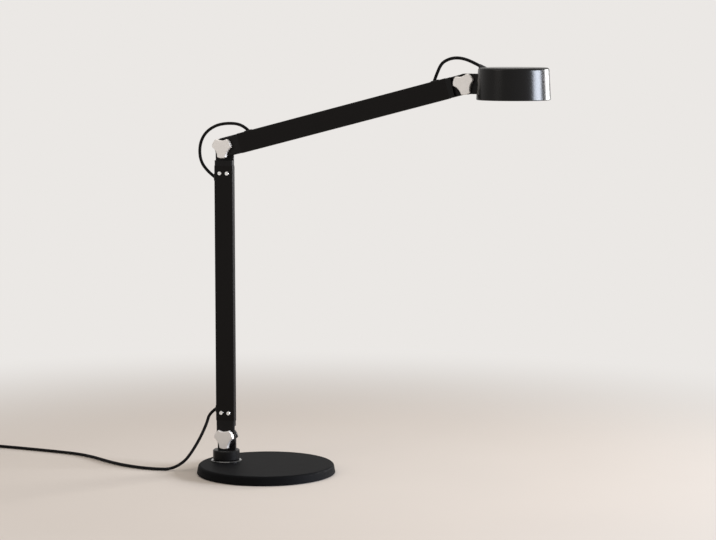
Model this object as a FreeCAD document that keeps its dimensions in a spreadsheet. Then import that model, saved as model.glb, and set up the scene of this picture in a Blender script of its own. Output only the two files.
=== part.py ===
import FreeCAD, Part
import math
import os
import re

import Sketcher

# Two-arm desk lamp: a round weighted base, a swivelling foot, two flat tubular arms that pivot
# on clamped half-lap joints with three-lobed hand knobs, and a drum-shaped light head.
# Millimetres. +X points from the post towards the head, +Z up, and the hand knobs face -Y.
# The origin is the centre of the base on the surface that the lamp stands on.

DIMENSIONS = [
    ("base_radius", 90.0, "base plate, radius at its lower edge"),
    ("base_top", 12.0, "base plate, height of its top above the table"),
    ("base_lift", 0.6, "base plate, underside above the table"),
    ("base_lean", 2.0, "base plate, inward lean of its wall"),
    ("base_round", 3.2, "base plate, rounding of its top edge"),
    ("pad_inset", 6.0, "felt pad, smaller in radius than the base plate by this"),
    ("pad_thick", 2.0, "felt pad, thickness"),
    ("post_inset", 33.0, "swivel axis, distance inside the edge of the base"),
    ("ring_radius", 20.0, "swivel ring, outer radius"),
    ("ring_thick", 1.8, "swivel ring, thickness"),
    ("ring_bevel", 0.9, "swivel ring, bevel of its top edge"),
    ("turn_gap", 0.3, "clearance between faces that move past each other"),
    ("bore_play", 0.05, "radial clearance of a shaft in its bore"),
    ("collar_radius", 17.5, "foot collar, radius"),
    ("collar_top", 27.0, "foot collar, height of its top above the table"),
    ("collar_bevel", 1.0, "foot collar, bevel of its edges"),
    ("swivel_bolt_radius", 4.0, "swivel bolt, shank radius"),
    ("swivel_head_radius", 7.0, "swivel bolt, head radius"),
    ("swivel_head_thick", 3.2, "swivel bolt, head height"),
    ("swivel_pocket_radius", 11.0, "base plate, radius of the pocket under the swivel bolt"),
    ("swivel_pocket_top", 7.5, "base plate, ceiling of that pocket above the table"),
    ("swivel_grip", 11.0, "swivel bolt, length screwed into the foot"),
    ("spring_washer_thick", 0.6, "swivel washer, thickness"),
    ("stop_radius", 1.5, "stop pin, radius"),
    ("stop_reach", 11.0, "stop pin, distance from the swivel axis"),
    ("stop_rise", 2.5, "stop pin, height inside the groove of the foot"),
    ("swivel_range", 45.0, "swivel, degrees each way"),
    ("foot_pivot", 42.0, "height of the lowest pivot above the table"),
    ("lower_length", 380.4, "lower arm, pivot to pivot"),
    ("upper_length", 340.0, "upper arm, pivot to pivot"),
    ("upper_rise", 14.5, "upper arm at rest, degrees above level"),
    ("tube_width", 26.0, "arm tube, width"),
    ("tube_depth", 8.0, "arm tube, depth"),
    ("tube_wall", 1.4, "arm tube, wall"),
    ("tube_round", 1.1, "arm tube, rounding of its long edges"),
    ("lap_inset", 0.4, "fittings, narrower than the tube by this on each side"),
    ("lap_bevel", 1.2, "fittings, bevel of the long edges"),
    ("lap_gap", 0.9, "half-lap joint, space between the two tongues"),
    ("shoulder", 16.6, "half-lap joint, pivot to shoulder"),
    ("seam", 23.5, "pivot to the end of the tube"),
    ("spigot_end", 35.6, "pivot to the end of the spigot inside the tube"),
    ("spigot_play", 0.1, "spigot, clearance inside the tube"),
    ("screw_along", 33.4, "pivot to the line of the two fitting screws"),
    ("screw_pitch", 10.3, "distance between the two fitting screws"),
    ("screw_radius", 1.5, "fitting screw, shank radius"),
    ("screw_head_radius", 2.75, "fitting screw, head radius"),
    ("screw_head_thick", 1.1, "fitting screw, height of the head above the tube"),
    ("screw_socket", 1.15, "fitting screw, radius of the hexagon socket"),
    ("pivot_bolt_radius", 2.5, "pivot bolt, shank radius"),
    ("pivot_head_radius", 4.4, "pivot bolt, corner radius of the hexagon head"),
    ("pivot_head_thick", 2.6, "pivot bolt, height of the head"),
    ("disc_radius", 11.0, "friction disc, radius"),
    ("disc_thick", 0.6, "friction disc, thickness"),
    ("knob_radius", 13.5, "hand knob, radius over its lobes"),
    ("knob_waist", 9.3, "hand knob, radius at the hollows between its lobes"),
    ("knob_hollow", 15.0, "hand knob, radius of those hollows"),
    ("knob_corner", 1.5, "hand knob, rounding of the lobes' corners"),
    ("knob_thick", 4.6, "hand knob, thickness"),
    ("knob_bevel", 0.7, "hand knob, bevel of the front edge"),
    ("knob_blind", 1.6, "hand knob, metal left in front of its thread"),
    ("washer_radius", 7.5, "knob washer, radius"),
    ("washer_thick", 0.6, "knob washer, thickness"),
    ("cap_thick", 4.6, "rear cap, thickness"),
    ("cord_radius", 2.0, "cord, radius"),
    ("cord_play", 0.25, "cord, radial clearance in its bushes"),
    ("cord_exit", 38.5, "pivot to the centre of each cord outlet, along the tube"),
    ("cord_slant", 55.0, "cord outlet, degrees from the tube's length"),
    ("bush_half", 5.4, "cord bush, half length of its lip"),
    ("bush_radius", 3.1, "cord bush, end radius of its lip"),
    ("bush_wall", 0.5, "cord bush, lip beyond its neck"),
    ("bush_lip", 0.8, "cord bush, height of its lip above the tube"),
    ("head_out", 62.3, "head pivot to the axis of the drum"),
    ("head_radius", 45.8, "drum, radius at its lower rim"),
    ("head_taper", 2.2, "drum, loss of radius at its top"),
    ("head_drop", 19.2, "drum, lower rim below the pivot"),
    ("head_height", 39.6, "drum, height"),
    ("head_round", 3.2, "drum, rounding of its top edge"),
    ("head_rim_bevel", 0.8, "drum, bevel of its lower rim"),
    ("shell_wall", 1.6, "drum, wall"),
    ("shell_top", 2.0, "drum, thickness of its top"),
    ("trim_depth", 1.5, "trim ring, height"),
    ("trim_width", 3.0, "trim ring, width"),
    ("diffuser_thick", 2.4, "diffuser, thickness"),
    ("inner_fit", 0.15, "clearance of the pieces seated inside the drum"),
    ("spreader_low", 1.0, "heat spreader, underside above the head pivot"),
    ("spreader_thick", 3.0, "heat spreader, thickness"),
    ("spreader_boss", 9.0, "heat spreader, radius of its centre boss"),
    ("board_radius", 33.0, "light board, radius"),
    ("board_thick", 1.6, "light board and driver board, thickness"),
    ("chip_side", 3.0, "light chips, side"),
    ("chip_thick", 0.8, "light chips, height"),
    ("chip_circle", 24.0, "light chips, radius of their circle"),
    ("reflector_wall", 1.0, "reflector, wall"),
    ("driver_near", 13.0, "driver board, near edge from the drum's axis"),
    ("driver_far", 33.0, "driver board, far edge from the drum's axis"),
    ("driver_half", 17.0, "driver board, half width"),
    ("terminal_far", 18.5, "terminal block, outer face from the drum's axis"),
    ("terminal_height", 12.5, "cord's end at the terminal block, above the head pivot"),
    ("driver_stand", 2.0, "driver board, height of the posts under it"),
    ("flange_half", 9.5, "head bracket, half width of the flange inside the drum"),
    ("flange_thick", 2.0, "head bracket, thickness of that flange"),
    ("gland_radius", 3.0, "head cord gland, radius"),
    ("gland_out", 4.0, "head cord gland, length outside the drum"),
    ("gland_in", 9.5, "head cord gland, length inside the drum"),
    ("gland_slant", 27.0, "head cord gland, degrees above level"),
    ("gland_back", 40.5, "head cord gland, from the drum's axis at the height of its top"),
    ("coil_inner", 17.5, "coiled cord, inner radius of its centre line"),
    ("coil_pitch", 5.15, "coiled cord, distance between turns"),
    ("coil_back", 389.0, "coiled cord, centre behind the swivel axis"),
    ("coil_side", 1.0, "coiled cord, centre in front of the arms' plane"),
    ("elbow_loop_reach", 35.5, "elbow loop, furthest point of its route behind the pivot"),
    ("head_loop_rise", 32.0, "head loop, highest point of its route above the pivot"),
    ("drop_height", 61.5, "power cord, height of its first free bend"),
    ("tail_length", 14.0, "cord, straight from the coil to the power adapter"),
    ("relief_length", 20.0, "adapter strain relief, length"),
    ("relief_radius", 4.2, "adapter strain relief, radius at the adapter"),
    ("adapter_length", 58.0, "power adapter, length"),
    ("adapter_width", 38.0, "power adapter, width"),
    ("adapter_round", 4.0, "power adapter, rounding of its long edges"),
    ("pin_radius", 2.0, "adapter pins, radius"),
    ("pin_length", 19.0, "adapter pins, length"),
    ("pin_pitch", 19.0, "adapter pins, distance between them"),
]

CHIP_COUNT = 12
DRIVER_TALL = 5.5

doc = FreeCAD.newDocument("desk_lamp")
sheet = doc.addObject("Spreadsheet::Sheet", "Sizes")
ALIASES = {alias for alias, _, _ in DIMENSIONS}
WORD = re.compile(r"[a-z_][a-z0-9_]*")


def fill_sheet():
    """Write each driving dimension with its alias and its meaning."""
    for row, (alias, value, meaning) in enumerate(DIMENSIONS, start=1):
        sheet.set(f"A{row}", meaning)
        sheet.set(f"B{row}", str(value))
        sheet.setAlias(f"B{row}", alias)
    doc.recompute()


def formula(text):
    """Turn a sum of dimension names into an expression on the sheet."""
    return WORD.sub(lambda word: f"Sizes.{word[0]}" if word[0] in ALIASES else word[0], str(text))


def size(text):
    """Work out a sum of dimension names as a number."""
    found = sheet.evalExpression(formula(text))
    return float(getattr(found, "Value", found))


def bind(item, **sums):
    """Tie properties to sums of dimension names; a double underscore stands for a dot."""
    for name, text in sums.items():
        item.setExpression(name.replace("__", "."), formula(text))
    return item


# --- places -----------------------------------------------------------------------------------

def frame(x, z, rise="0", turned=False):
    """Place whose own X axis points 'rise' degrees above +X; turned looks back along it."""
    place = f"placement(vector({x}; 0; {z}); rotation(vector(0; -1; 0); {rise}))"
    if turned:
        place += " * placement(vector(0; 0; 0); rotation(vector(0; 0; 1); 180))"
    return place


POST_X = "(post_inset - base_radius)"
PAD_RADIUS = "base_radius - pad_inset"
ELBOW_Z = "foot_pivot + lower_length"
HEAD_X = "upper_length * cos(upper_rise) + post_inset - base_radius"
HEAD_Z = "foot_pivot + lower_length + upper_length * sin(upper_rise)"

AT_BASE = frame("0", "0")
AT_POST = frame(POST_X, "0")
AT_FOOT_PIVOT = frame(POST_X, "foot_pivot")
AT_ELBOW = frame(POST_X, ELBOW_Z)
AT_HEAD_PIVOT = frame(HEAD_X, HEAD_Z)
AT_HEAD_KNOB = frame(HEAD_X, HEAD_Z, "upper_rise")
AT_DRUM = frame(f"{HEAD_X} + head_out", HEAD_Z)
LOWER_ARM = frame(POST_X, "foot_pivot", "90")
LOWER_ARM_END = frame(POST_X, ELBOW_Z, "90", turned=True)
UPPER_ARM = frame(POST_X, ELBOW_Z, "upper_rise")
UPPER_ARM_END = frame(HEAD_X, HEAD_Z, "upper_rise", turned=True)

pieces = {}


def piece(node, item, place=AT_BASE):
    """Name a finished sub-part and put it in its place, with its own offset kept."""
    if item.TypeId in ("Part::Box", "Part::Cylinder", "Part::Cone", "Part::Prism"):
        item = group(f"{node}_held", item)
    item.Label = node
    item.setExpression("Placement", formula(place))
    pieces[node] = item
    return item


# --- simple solids ----------------------------------------------------------------------------

def box(name, x, y, z):
    """Block between the low and high values of each axis."""
    block = doc.addObject("Part::Box", name)
    return bind(
        block,
        Length=f"({x[1]}) - ({x[0]})", Width=f"({y[1]}) - ({y[0]})", Height=f"({z[1]}) - ({z[0]})",
        Placement__Base__x=x[0], Placement__Base__y=y[0], Placement__Base__z=z[0],
    )


def rod(name, radius, low, high, at=("0", "0"), along="z"):
    """Cylinder from low to high along an axis; at gives its place on the other two, in order."""
    cylinder = doc.addObject("Part::Cylinder", name)
    return lay_along(bind(cylinder, Radius=radius, Height=f"({high}) - ({low})"), low, at, along)


def cone(name, radius_low, radius_high, low, high, at=("0", "0"), along="z"):
    """Cone from low to high along an axis."""
    item = doc.addObject("Part::Cone", name)
    bind(item, Radius1=radius_low, Radius2=radius_high, Height=f"({high}) - ({low})")
    return lay_along(item, low, at, along)


def hexagon(name, radius, low, high, at=("0", "0"), along="z"):
    """Six-sided prism from low to high along an axis."""
    prism = doc.addObject("Part::Prism", name)
    prism.Polygon = 6
    bind(prism, Circumradius=radius, Height=f"({high}) - ({low})")
    return lay_along(prism, low, at, along)


def lay_along(item, low, at, along):
    """Turn a solid made along Z onto the wanted axis and move its lower end to its place."""
    if along == "z":
        return bind(item, Placement__Base__x=at[0], Placement__Base__y=at[1], Placement__Base__z=low)
    if along == "y":
        item.Placement.Rotation = FreeCAD.Rotation(FreeCAD.Vector(1, 0, 0), -90)
        return bind(item, Placement__Base__x=at[0], Placement__Base__y=low, Placement__Base__z=at[1])
    item.Placement.Rotation = FreeCAD.Rotation(FreeCAD.Vector(0, 1, 0), 90)
    return bind(item, Placement__Base__x=low, Placement__Base__y=at[0], Placement__Base__z=at[1])


def fuse(name, *parts):
    """Join overlapping solids into one."""
    joined = doc.addObject("Part::MultiFuse", name)
    joined.Shapes = list(parts)
    joined.Refine = True
    return joined


def group(name, *parts):
    """Keep separate solids together as one sub-part."""
    together = doc.addObject("Part::Compound", name)
    together.Links = list(parts)
    return together


def cut(name, base, *tools):
    """Take one or more solids away from another."""
    for count, tool in enumerate(tools):
        step = doc.addObject("Part::Cut", f"{name}_{count}")
        step.Base = base
        step.Tool = tool
        step.Refine = True
        base = step
    return base


def common(name, first, second):
    """Keep what two solids share."""
    shared = doc.addObject("Part::Common", name)
    shared.Base = first
    shared.Tool = second
    shared.Refine = True
    return shared


def edge_work(kind, name, base, amount, wanted):
    """Bevel or round the edges of a solid that a test picks out."""
    doc.recompute()
    chosen = [number for number, edge in enumerate(base.Shape.Edges, start=1) if wanted(edge)]
    if not chosen:
        raise ValueError(f"{name}: no edge to work on")
    worked = doc.addObject(kind, name)
    worked.Base = base
    worked.Edges = [(number, size(amount), size(amount)) for number in chosen]
    return worked


def bevel(name, base, amount, wanted):
    return edge_work("Part::Chamfer", name, base, amount, wanted)


def rounded(name, base, amount, wanted):
    return edge_work("Part::Fillet", name, base, amount, wanted)


def is_line(edge, axis):
    """True for a straight edge along the axis."""
    if not isinstance(edge.Curve, (Part.Line, Part.LineSegment)):
        return False
    return abs(abs(edge.Curve.Direction.dot(axis)) - 1.0) < 1e-6


def near(first, second):
    return abs(first - second) < 1e-4


# --- sketched bodies --------------------------------------------------------------------------

def sketch_on(body, name, role, lift="0"):
    """Sketch on one of the body's own planes, lifted along that plane's normal."""
    sketch = body.newObject("Sketcher::SketchObject", name)
    plane = next(item for item in body.Origin.OriginFeatures if item.Role == role)
    sketch.AttachmentSupport = [(plane, "")]
    sketch.MapMode = "FlatFace"
    return bind(sketch, AttachmentOffset__Base__z=lift)


def hold_point(sketch, shape, end, x, y):
    """Fix one point of a sketch by its distances from the sketch's origin."""
    for kind, text in (("DistanceX", x), ("DistanceY", y)):
        rule = sketch.addConstraint(Sketcher.Constraint(kind, -1, 1, shape, end, size(text)))
        sketch.setExpression(f"Constraints[{rule}]", formula(text))


def outline(sketch, corners):
    """Closed outline of straight lines through the corners."""
    spots = [FreeCAD.Vector(size(x), size(y), 0) for x, y in corners]
    lines = [
        sketch.addGeometry(Part.LineSegment(spots[here], spots[(here + 1) % len(spots)]), False)
        for here in range(len(spots))
    ]
    for here, line in enumerate(lines):
        following = lines[(here + 1) % len(lines)]
        sketch.addConstraint(Sketcher.Constraint("Coincident", line, 2, following, 1))
        hold_point(sketch, line, 1, *corners[here])


def ring(sketch, x, y, radius):
    """Circle held by its centre and radius."""
    centre = FreeCAD.Vector(size(x), size(y), 0)
    circle = sketch.addGeometry(Part.Circle(centre, FreeCAD.Vector(0, 0, 1), size(radius)), False)
    hold_point(sketch, circle, 3, x, y)
    rule = sketch.addConstraint(Sketcher.Constraint("Radius", circle, size(radius)))
    sketch.setExpression(f"Constraints[{rule}]", formula(radius))


def turned_body(name, corners):
    """Body made by turning an outline of radius and height about its own Z axis."""
    body = doc.addObject("PartDesign::Body", name)
    sketch = sketch_on(body, f"{name}_profile", "XZ_Plane")
    outline(sketch, corners)
    turn = body.newObject("PartDesign::Revolution", f"{name}_turn")
    turn.Profile = sketch
    turn.ReferenceAxis = (sketch, ["V_Axis"])
    turn.Angle = 360
    doc.recompute()
    return body


def extrude(body, sketch, name, length, both_ways=False, back=False):
    pad = body.newObject("PartDesign::Pad", name)
    pad.Profile = sketch
    pad.Midplane = both_ways
    pad.Reversed = back
    return bind(pad, Length=length)


# --- base -------------------------------------------------------------------------------------

def make_base():
    """Heavy round plate on a felt pad, with the bore and pocket of the swivel."""
    plate = turned_body("base_turning", [
        ("0", "pad_thick"),
        (f"{PAD_RADIUS} + inner_fit", "pad_thick"),
        (f"{PAD_RADIUS} + inner_fit", "base_lift"),
        ("base_radius - base_lift", "base_lift"),
        ("base_radius", "2 * base_lift"),
        ("base_radius - base_lean", "base_top"),
        ("0", "base_top"),
    ])
    plate = rounded("base_edge", plate, "base_round", lambda edge: is_top_rim(
        edge, "base_radius - base_lean", "base_top"))
    plate = cut(
        "base_bored", plate,
        rod("base_bore", "swivel_bolt_radius + bore_play", "base_lift", "base_top + 1", (POST_X, "0")),
        rod("base_pocket", "swivel_pocket_radius", "base_lift", "swivel_pocket_top", (POST_X, "0")),
        rod("base_pin_hole", "stop_radius", "swivel_pocket_top - 1", "base_top + 1",
            (f"stop_reach + {POST_X}", "0")),
    )
    piece("base_plate", plate)
    pad = turned_body("pad_turning", [
        ("0", "0"), (PAD_RADIUS, "0"), (PAD_RADIUS, "pad_thick"), ("0", "pad_thick"),
    ])
    piece("base_pad", pad)


def is_top_rim(edge, radius, height):
    """True for the circle of that radius at that height."""
    return (
        isinstance(edge.Curve, Part.Circle)
        and near(edge.Curve.Radius, size(radius))
        and near(edge.Curve.Center.z, size(height))
    )


def make_swivel():
    """Ring and stop pin on the base, and the bolt and washer that hold the foot down."""
    ring_top = "base_top + ring_thick"
    swivel_ring = turned_body("ring_turning", [
        ("swivel_bolt_radius + bore_play", "base_top"),
        ("ring_radius", "base_top"),
        ("ring_radius", f"{ring_top} - ring_bevel"),
        ("ring_radius - ring_bevel", ring_top),
        ("swivel_bolt_radius + bore_play", ring_top),
    ])
    swivel_ring = cut("ring_holed", swivel_ring, rod(
        "ring_pin_hole", "stop_radius", "base_top - 1", f"{ring_top} + 1", ("stop_reach", "0")))
    piece("swivel_ring", swivel_ring, AT_POST)
    stop_pin = rod("stop_pin_rod", "stop_radius", "0", f"{ring_top} + stop_rise - swivel_pocket_top")
    piece("stop_pin", stop_pin, frame(f"stop_reach + {POST_X}", "swivel_pocket_top"))

    head_top = "swivel_pocket_top - turn_gap - spring_washer_thick"
    bolt = fuse(
        "swivel_bolt_solid",
        hexagon("swivel_bolt_head", "swivel_head_radius", f"{head_top} - swivel_head_thick", head_top),
        rod("swivel_bolt_shank", "swivel_bolt_radius", f"{head_top} - 1",
            f"{ring_top} + turn_gap + swivel_grip"),
    )
    piece("swivel_bolt", bolt, AT_POST)
    washer = cut(
        "swivel_washer_solid",
        rod("swivel_washer_disc", "swivel_head_radius + 1", head_top, f"{head_top} + spring_washer_thick"),
        rod("swivel_washer_bore", "swivel_bolt_radius", f"{head_top} - 1", f"{head_top} + 2"),
    )
    piece("swivel_washer", washer, AT_POST)


def make_foot():
    """Collar that turns on the ring, with the half-lap tongue that carries the lower arm."""
    low = "base_top + ring_thick + turn_gap"
    collar = turned_body("collar_turning", [
        ("0", low),
        ("collar_radius - collar_bevel", low),
        ("collar_radius", f"{low} + collar_bevel"),
        ("collar_radius", "collar_top - collar_bevel"),
        ("collar_radius - collar_bevel", "collar_top"),
        ("0", "collar_top"),
    ])
    half = "tube_width / 2 - lap_inset"
    tongue = fuse(
        "foot_tongue",
        box("foot_tongue_block", (f"-({half})", half), ("lap_gap / 2", "tube_depth / 2"),
            ("collar_top - 2", "foot_pivot")),
        rod("foot_tongue_end", half, "lap_gap / 2", "tube_depth / 2", ("0", "foot_pivot"), "y"),
    )
    groove_span = "2 * swivel_range * 1 deg + 2 * asin((stop_radius + turn_gap) / stop_reach)"
    outer = rod("groove_outer", "stop_reach + stop_radius + turn_gap", f"{low} - 1",
                f"{low} + stop_rise")
    bind(outer, Angle=groove_span)
    inner = rod("groove_inner", "stop_reach - stop_radius - turn_gap", f"{low} - 2",
                f"{low} + stop_rise + 1")
    groove = cut("groove", outer, inner)
    bind(groove, Placement__Rotation__Angle=f"0 deg - ({groove_span}) / 2")
    foot = fuse("foot_joined", collar, tongue)
    foot = cut(
        "foot_cut", foot, groove,
        rod("foot_thread", "swivel_bolt_radius", f"{low} - 1", f"{low} + swivel_grip"),
        rod("foot_pivot_bore", "pivot_bolt_radius", "-tube_depth", "tube_depth", ("0", "foot_pivot"), "y"),
    )
    piece("swivel_foot", foot, AT_POST)


# --- arms -------------------------------------------------------------------------------------

def make_fitting(node, place):
    """End fitting of an arm: spigot in the tube, shoulder block, and front half-lap tongue.

    The pivot is its origin and the tube lies along its +X."""
    half = "tube_width / 2 - lap_inset"
    deep = "tube_depth / 2"
    body = doc.addObject("PartDesign::Body", f"{node}_body")
    block_sketch = sketch_on(body, f"{node}_block_sketch", "XZ_Plane")
    outline(block_sketch, [
        ("0", f"-({half})"), ("seam", f"-({half})"), ("seam", half), ("0", half),
    ])
    extrude(body, block_sketch, f"{node}_block", "tube_depth", both_ways=True)
    eye_sketch = sketch_on(body, f"{node}_eye_sketch", "XZ_Plane")
    ring(eye_sketch, "0", "0", half)
    extrude(body, eye_sketch, f"{node}_eye", "tube_depth", both_ways=True)
    doc.recompute()
    block = bevel(f"{node}_bevel", body, "lap_bevel", lambda edge: (
        is_line(edge, FreeCAD.Vector(1, 0, 0)) and near(abs(edge.CenterOfMass.y), size(deep))))
    spigot_half = f"{half} + lap_inset - tube_wall - spigot_play"
    spigot_deep = f"{deep} - tube_wall - spigot_play"
    whole = fuse(f"{node}_whole", block, box(
        f"{node}_spigot", ("seam - 2", "spigot_end"), (f"-({spigot_deep})", spigot_deep),
        (f"-({spigot_half})", spigot_half)))
    whole = cut(
        f"{node}_cut", whole,
        box(f"{node}_lap", (f"-({half}) - 1", "shoulder"), ("-lap_gap / 2", f"{deep} + 1"),
            (f"-({half}) - 1", f"{half} + 1")),
        rod(f"{node}_bore", "pivot_bolt_radius + bore_play", "-tube_depth", "tube_depth",
            ("0", "0"), "y"),
        rod(f"{node}_screw_a", "screw_radius", "-tube_depth", "tube_depth",
            ("screw_along", "screw_pitch / 2"), "y"),
        rod(f"{node}_screw_b", "screw_radius", "-tube_depth", "tube_depth",
            ("screw_along", "-screw_pitch / 2"), "y"),
    )
    piece(node, whole, place)


def slot(name, half, radius, low, high, x):
    """Oblong prism along Z, its length along X."""
    return fuse(
        name,
        rod(f"{name}_a", radius, low, high, (f"{x} - ({half}) + ({radius})", "0")),
        rod(f"{name}_b", radius, low, high, (f"{x} + ({half}) - ({radius})", "0")),
        box(f"{name}_mid", (f"{x} - ({half}) + ({radius})", f"{x} + ({half}) - ({radius})"),
            (f"-({radius})", radius), (low, high)),
    )


def make_tube(node, length, place, screw_face):
    """Flat tube with two cord outlets in its narrow side and screw holes in one wide face."""
    body = doc.addObject("PartDesign::Body", f"{node}_body")
    sketch = sketch_on(body, f"{node}_section", "YZ_Plane", "seam")
    for inset in ("0", "tube_wall"):
        deep, wide = f"tube_depth / 2 - {inset}", f"tube_width / 2 - {inset}"
        outline(sketch, [
            (f"-({deep})", f"-({wide})"), (deep, f"-({wide})"), (deep, wide), (f"-({deep})", wide),
        ])
    extrude(body, sketch, f"{node}_length", f"{length} - 2 * seam")
    doc.recompute()
    tube = rounded(f"{node}_rounded", body, "tube_round", lambda edge: (
        is_line(edge, FreeCAD.Vector(1, 0, 0)) and near(abs(edge.CenterOfMass.y), size("tube_depth / 2"))))
    outside = "tube_width / 2"
    tools = []
    for tag, x in (("near", "cord_exit"), ("far", f"{length} - cord_exit")):
        tools.append(slot(f"{node}_{tag}_outlet", "bush_half - bush_wall", "bush_radius - bush_wall",
                          f"{outside} - tube_wall - 1", f"{outside} + 1", x))
    for tag, x in (("near", "screw_along"), ("far", f"{length} - screw_along")):
        for side in ("-", ""):
            tools.append(rod(f"{node}_{tag}_hole{'_low' if side else ''}", "screw_radius",
                             screw_face[0], screw_face[1], (x, f"{side}screw_pitch / 2"), "y"))
    piece(node, cut(f"{node}_drilled", tube, *tools), place)


def make_fitting_screws(node, length, place, toward):
    """Four button-head screws with hexagon sockets; toward is the sign of the face they enter."""
    screws = []
    face = "tube_depth / 2"
    for tag, x in (("near", "screw_along"), ("far", f"{length} - screw_along")):
        for side in ("-", ""):
            at = (x, f"{side}screw_pitch / 2")
            name = f"{node}_{tag}{'_low' if side else ''}"
            if toward < 0:
                head_span, socket_span = (f"-({face}) - screw_head_thick", f"-({face})"), (
                    f"-({face}) - screw_head_thick - 1", f"-({face})")
                shank_span = (f"-({face}) - screw_head_thick / 2", f"{face} - tube_wall")
                radii = ("screw_head_radius - screw_head_thick / 2", "screw_head_radius")
            else:
                head_span, socket_span = (face, f"{face} + screw_head_thick"), (
                    face, f"{face} + screw_head_thick + 1")
                shank_span = (f"tube_wall - {face}", f"{face} + screw_head_thick / 2")
                radii = ("screw_head_radius", "screw_head_radius - screw_head_thick / 2")
            solid = fuse(
                f"{name}_solid",
                cone(f"{name}_head", *radii, *head_span, at, "y"),
                rod(f"{name}_shank", "screw_radius", *shank_span, at, "y"),
            )
            screws.append(cut(f"{name}_screw", solid, hexagon(
                f"{name}_socket", "screw_socket", *socket_span, at, "y")))
    piece(node, group(f"{node}_group", *screws), place)


def make_bushes(node, length, place):
    """Two oblong bushes in the tube's narrow side, bored at a slant towards the pivots."""
    outside = "tube_width / 2"
    bushes = []
    for tag, x, lean in (("near", "cord_exit", -1), ("far", f"{length} - cord_exit", 1)):
        name = f"{node}_{tag}"
        solid = fuse(
            f"{name}_solid",
            slot(f"{name}_lip", "bush_half", "bush_radius", outside, f"{outside} + bush_lip", x),
            slot(f"{name}_neck", "bush_half - bush_wall", "bush_radius - bush_wall",
                 f"{outside} - tube_wall", f"{outside} + bush_lip / 2", x),
        )
        bore = doc.addObject("Part::Cylinder", f"{name}_bore")
        bind(bore, Radius="cord_radius + cord_play", Height="4 * bush_half")
        reach = "2 * bush_half"
        bore.Placement.Rotation = FreeCAD.Rotation(FreeCAD.Vector(0, lean, 0), 1)
        bind(bore,
             Placement__Rotation__Angle="90 - cord_slant",
             Placement__Base__x=f"{x} - ({lean}) * {reach} * cos(cord_slant)",
             Placement__Base__z=f"{outside} + bush_lip - {reach} * sin(cord_slant)")
        bushes.append(cut(f"{name}_bush", solid, bore))
    piece(node, group(f"{node}_group", *bushes), place)


# --- joint hardware ---------------------------------------------------------------------------

def lobed_plate(name, radius, waist, hollow, corner, thick):
    """Three-lobed plate from y = 0 back to y = thick, one lobe pointing down (-Z)."""
    body = doc.addObject("PartDesign::Body", name)
    sketch = sketch_on(body, f"{name}_disc", "XZ_Plane")
    ring(sketch, "0", "0", radius)
    extrude(body, sketch, f"{name}_plate", thick, back=True)
    doc.recompute()
    hollow_sketch = sketch_on(body, f"{name}_hollow_circle", "XZ_Plane")
    ring(hollow_sketch, "0", f"{waist} + {hollow}", hollow)
    hollows = body.newObject("PartDesign::Pocket", f"{name}_hollow")
    hollows.Profile = hollow_sketch
    hollows.Type = "ThroughAll"
    hollows.Midplane = True
    doc.recompute()
    pattern = body.newObject("PartDesign::PolarPattern", f"{name}_lobes")
    pattern.Originals = [hollows]
    pattern.Axis = (sketch, ["N_Axis"])
    pattern.Angle = 360
    pattern.Occurrences = 3
    body.Tip = pattern
    doc.recompute()
    corners = [f"Edge{number}" for number, edge in enumerate(pattern.Shape.Edges, start=1)
               if is_line(edge, FreeCAD.Vector(0, 1, 0))]
    soft = body.newObject("PartDesign::Fillet", f"{name}_corners")
    soft.Base = (pattern, corners)
    bind(soft, Radius=corner)
    body.Tip = soft
    doc.recompute()
    return body


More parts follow.
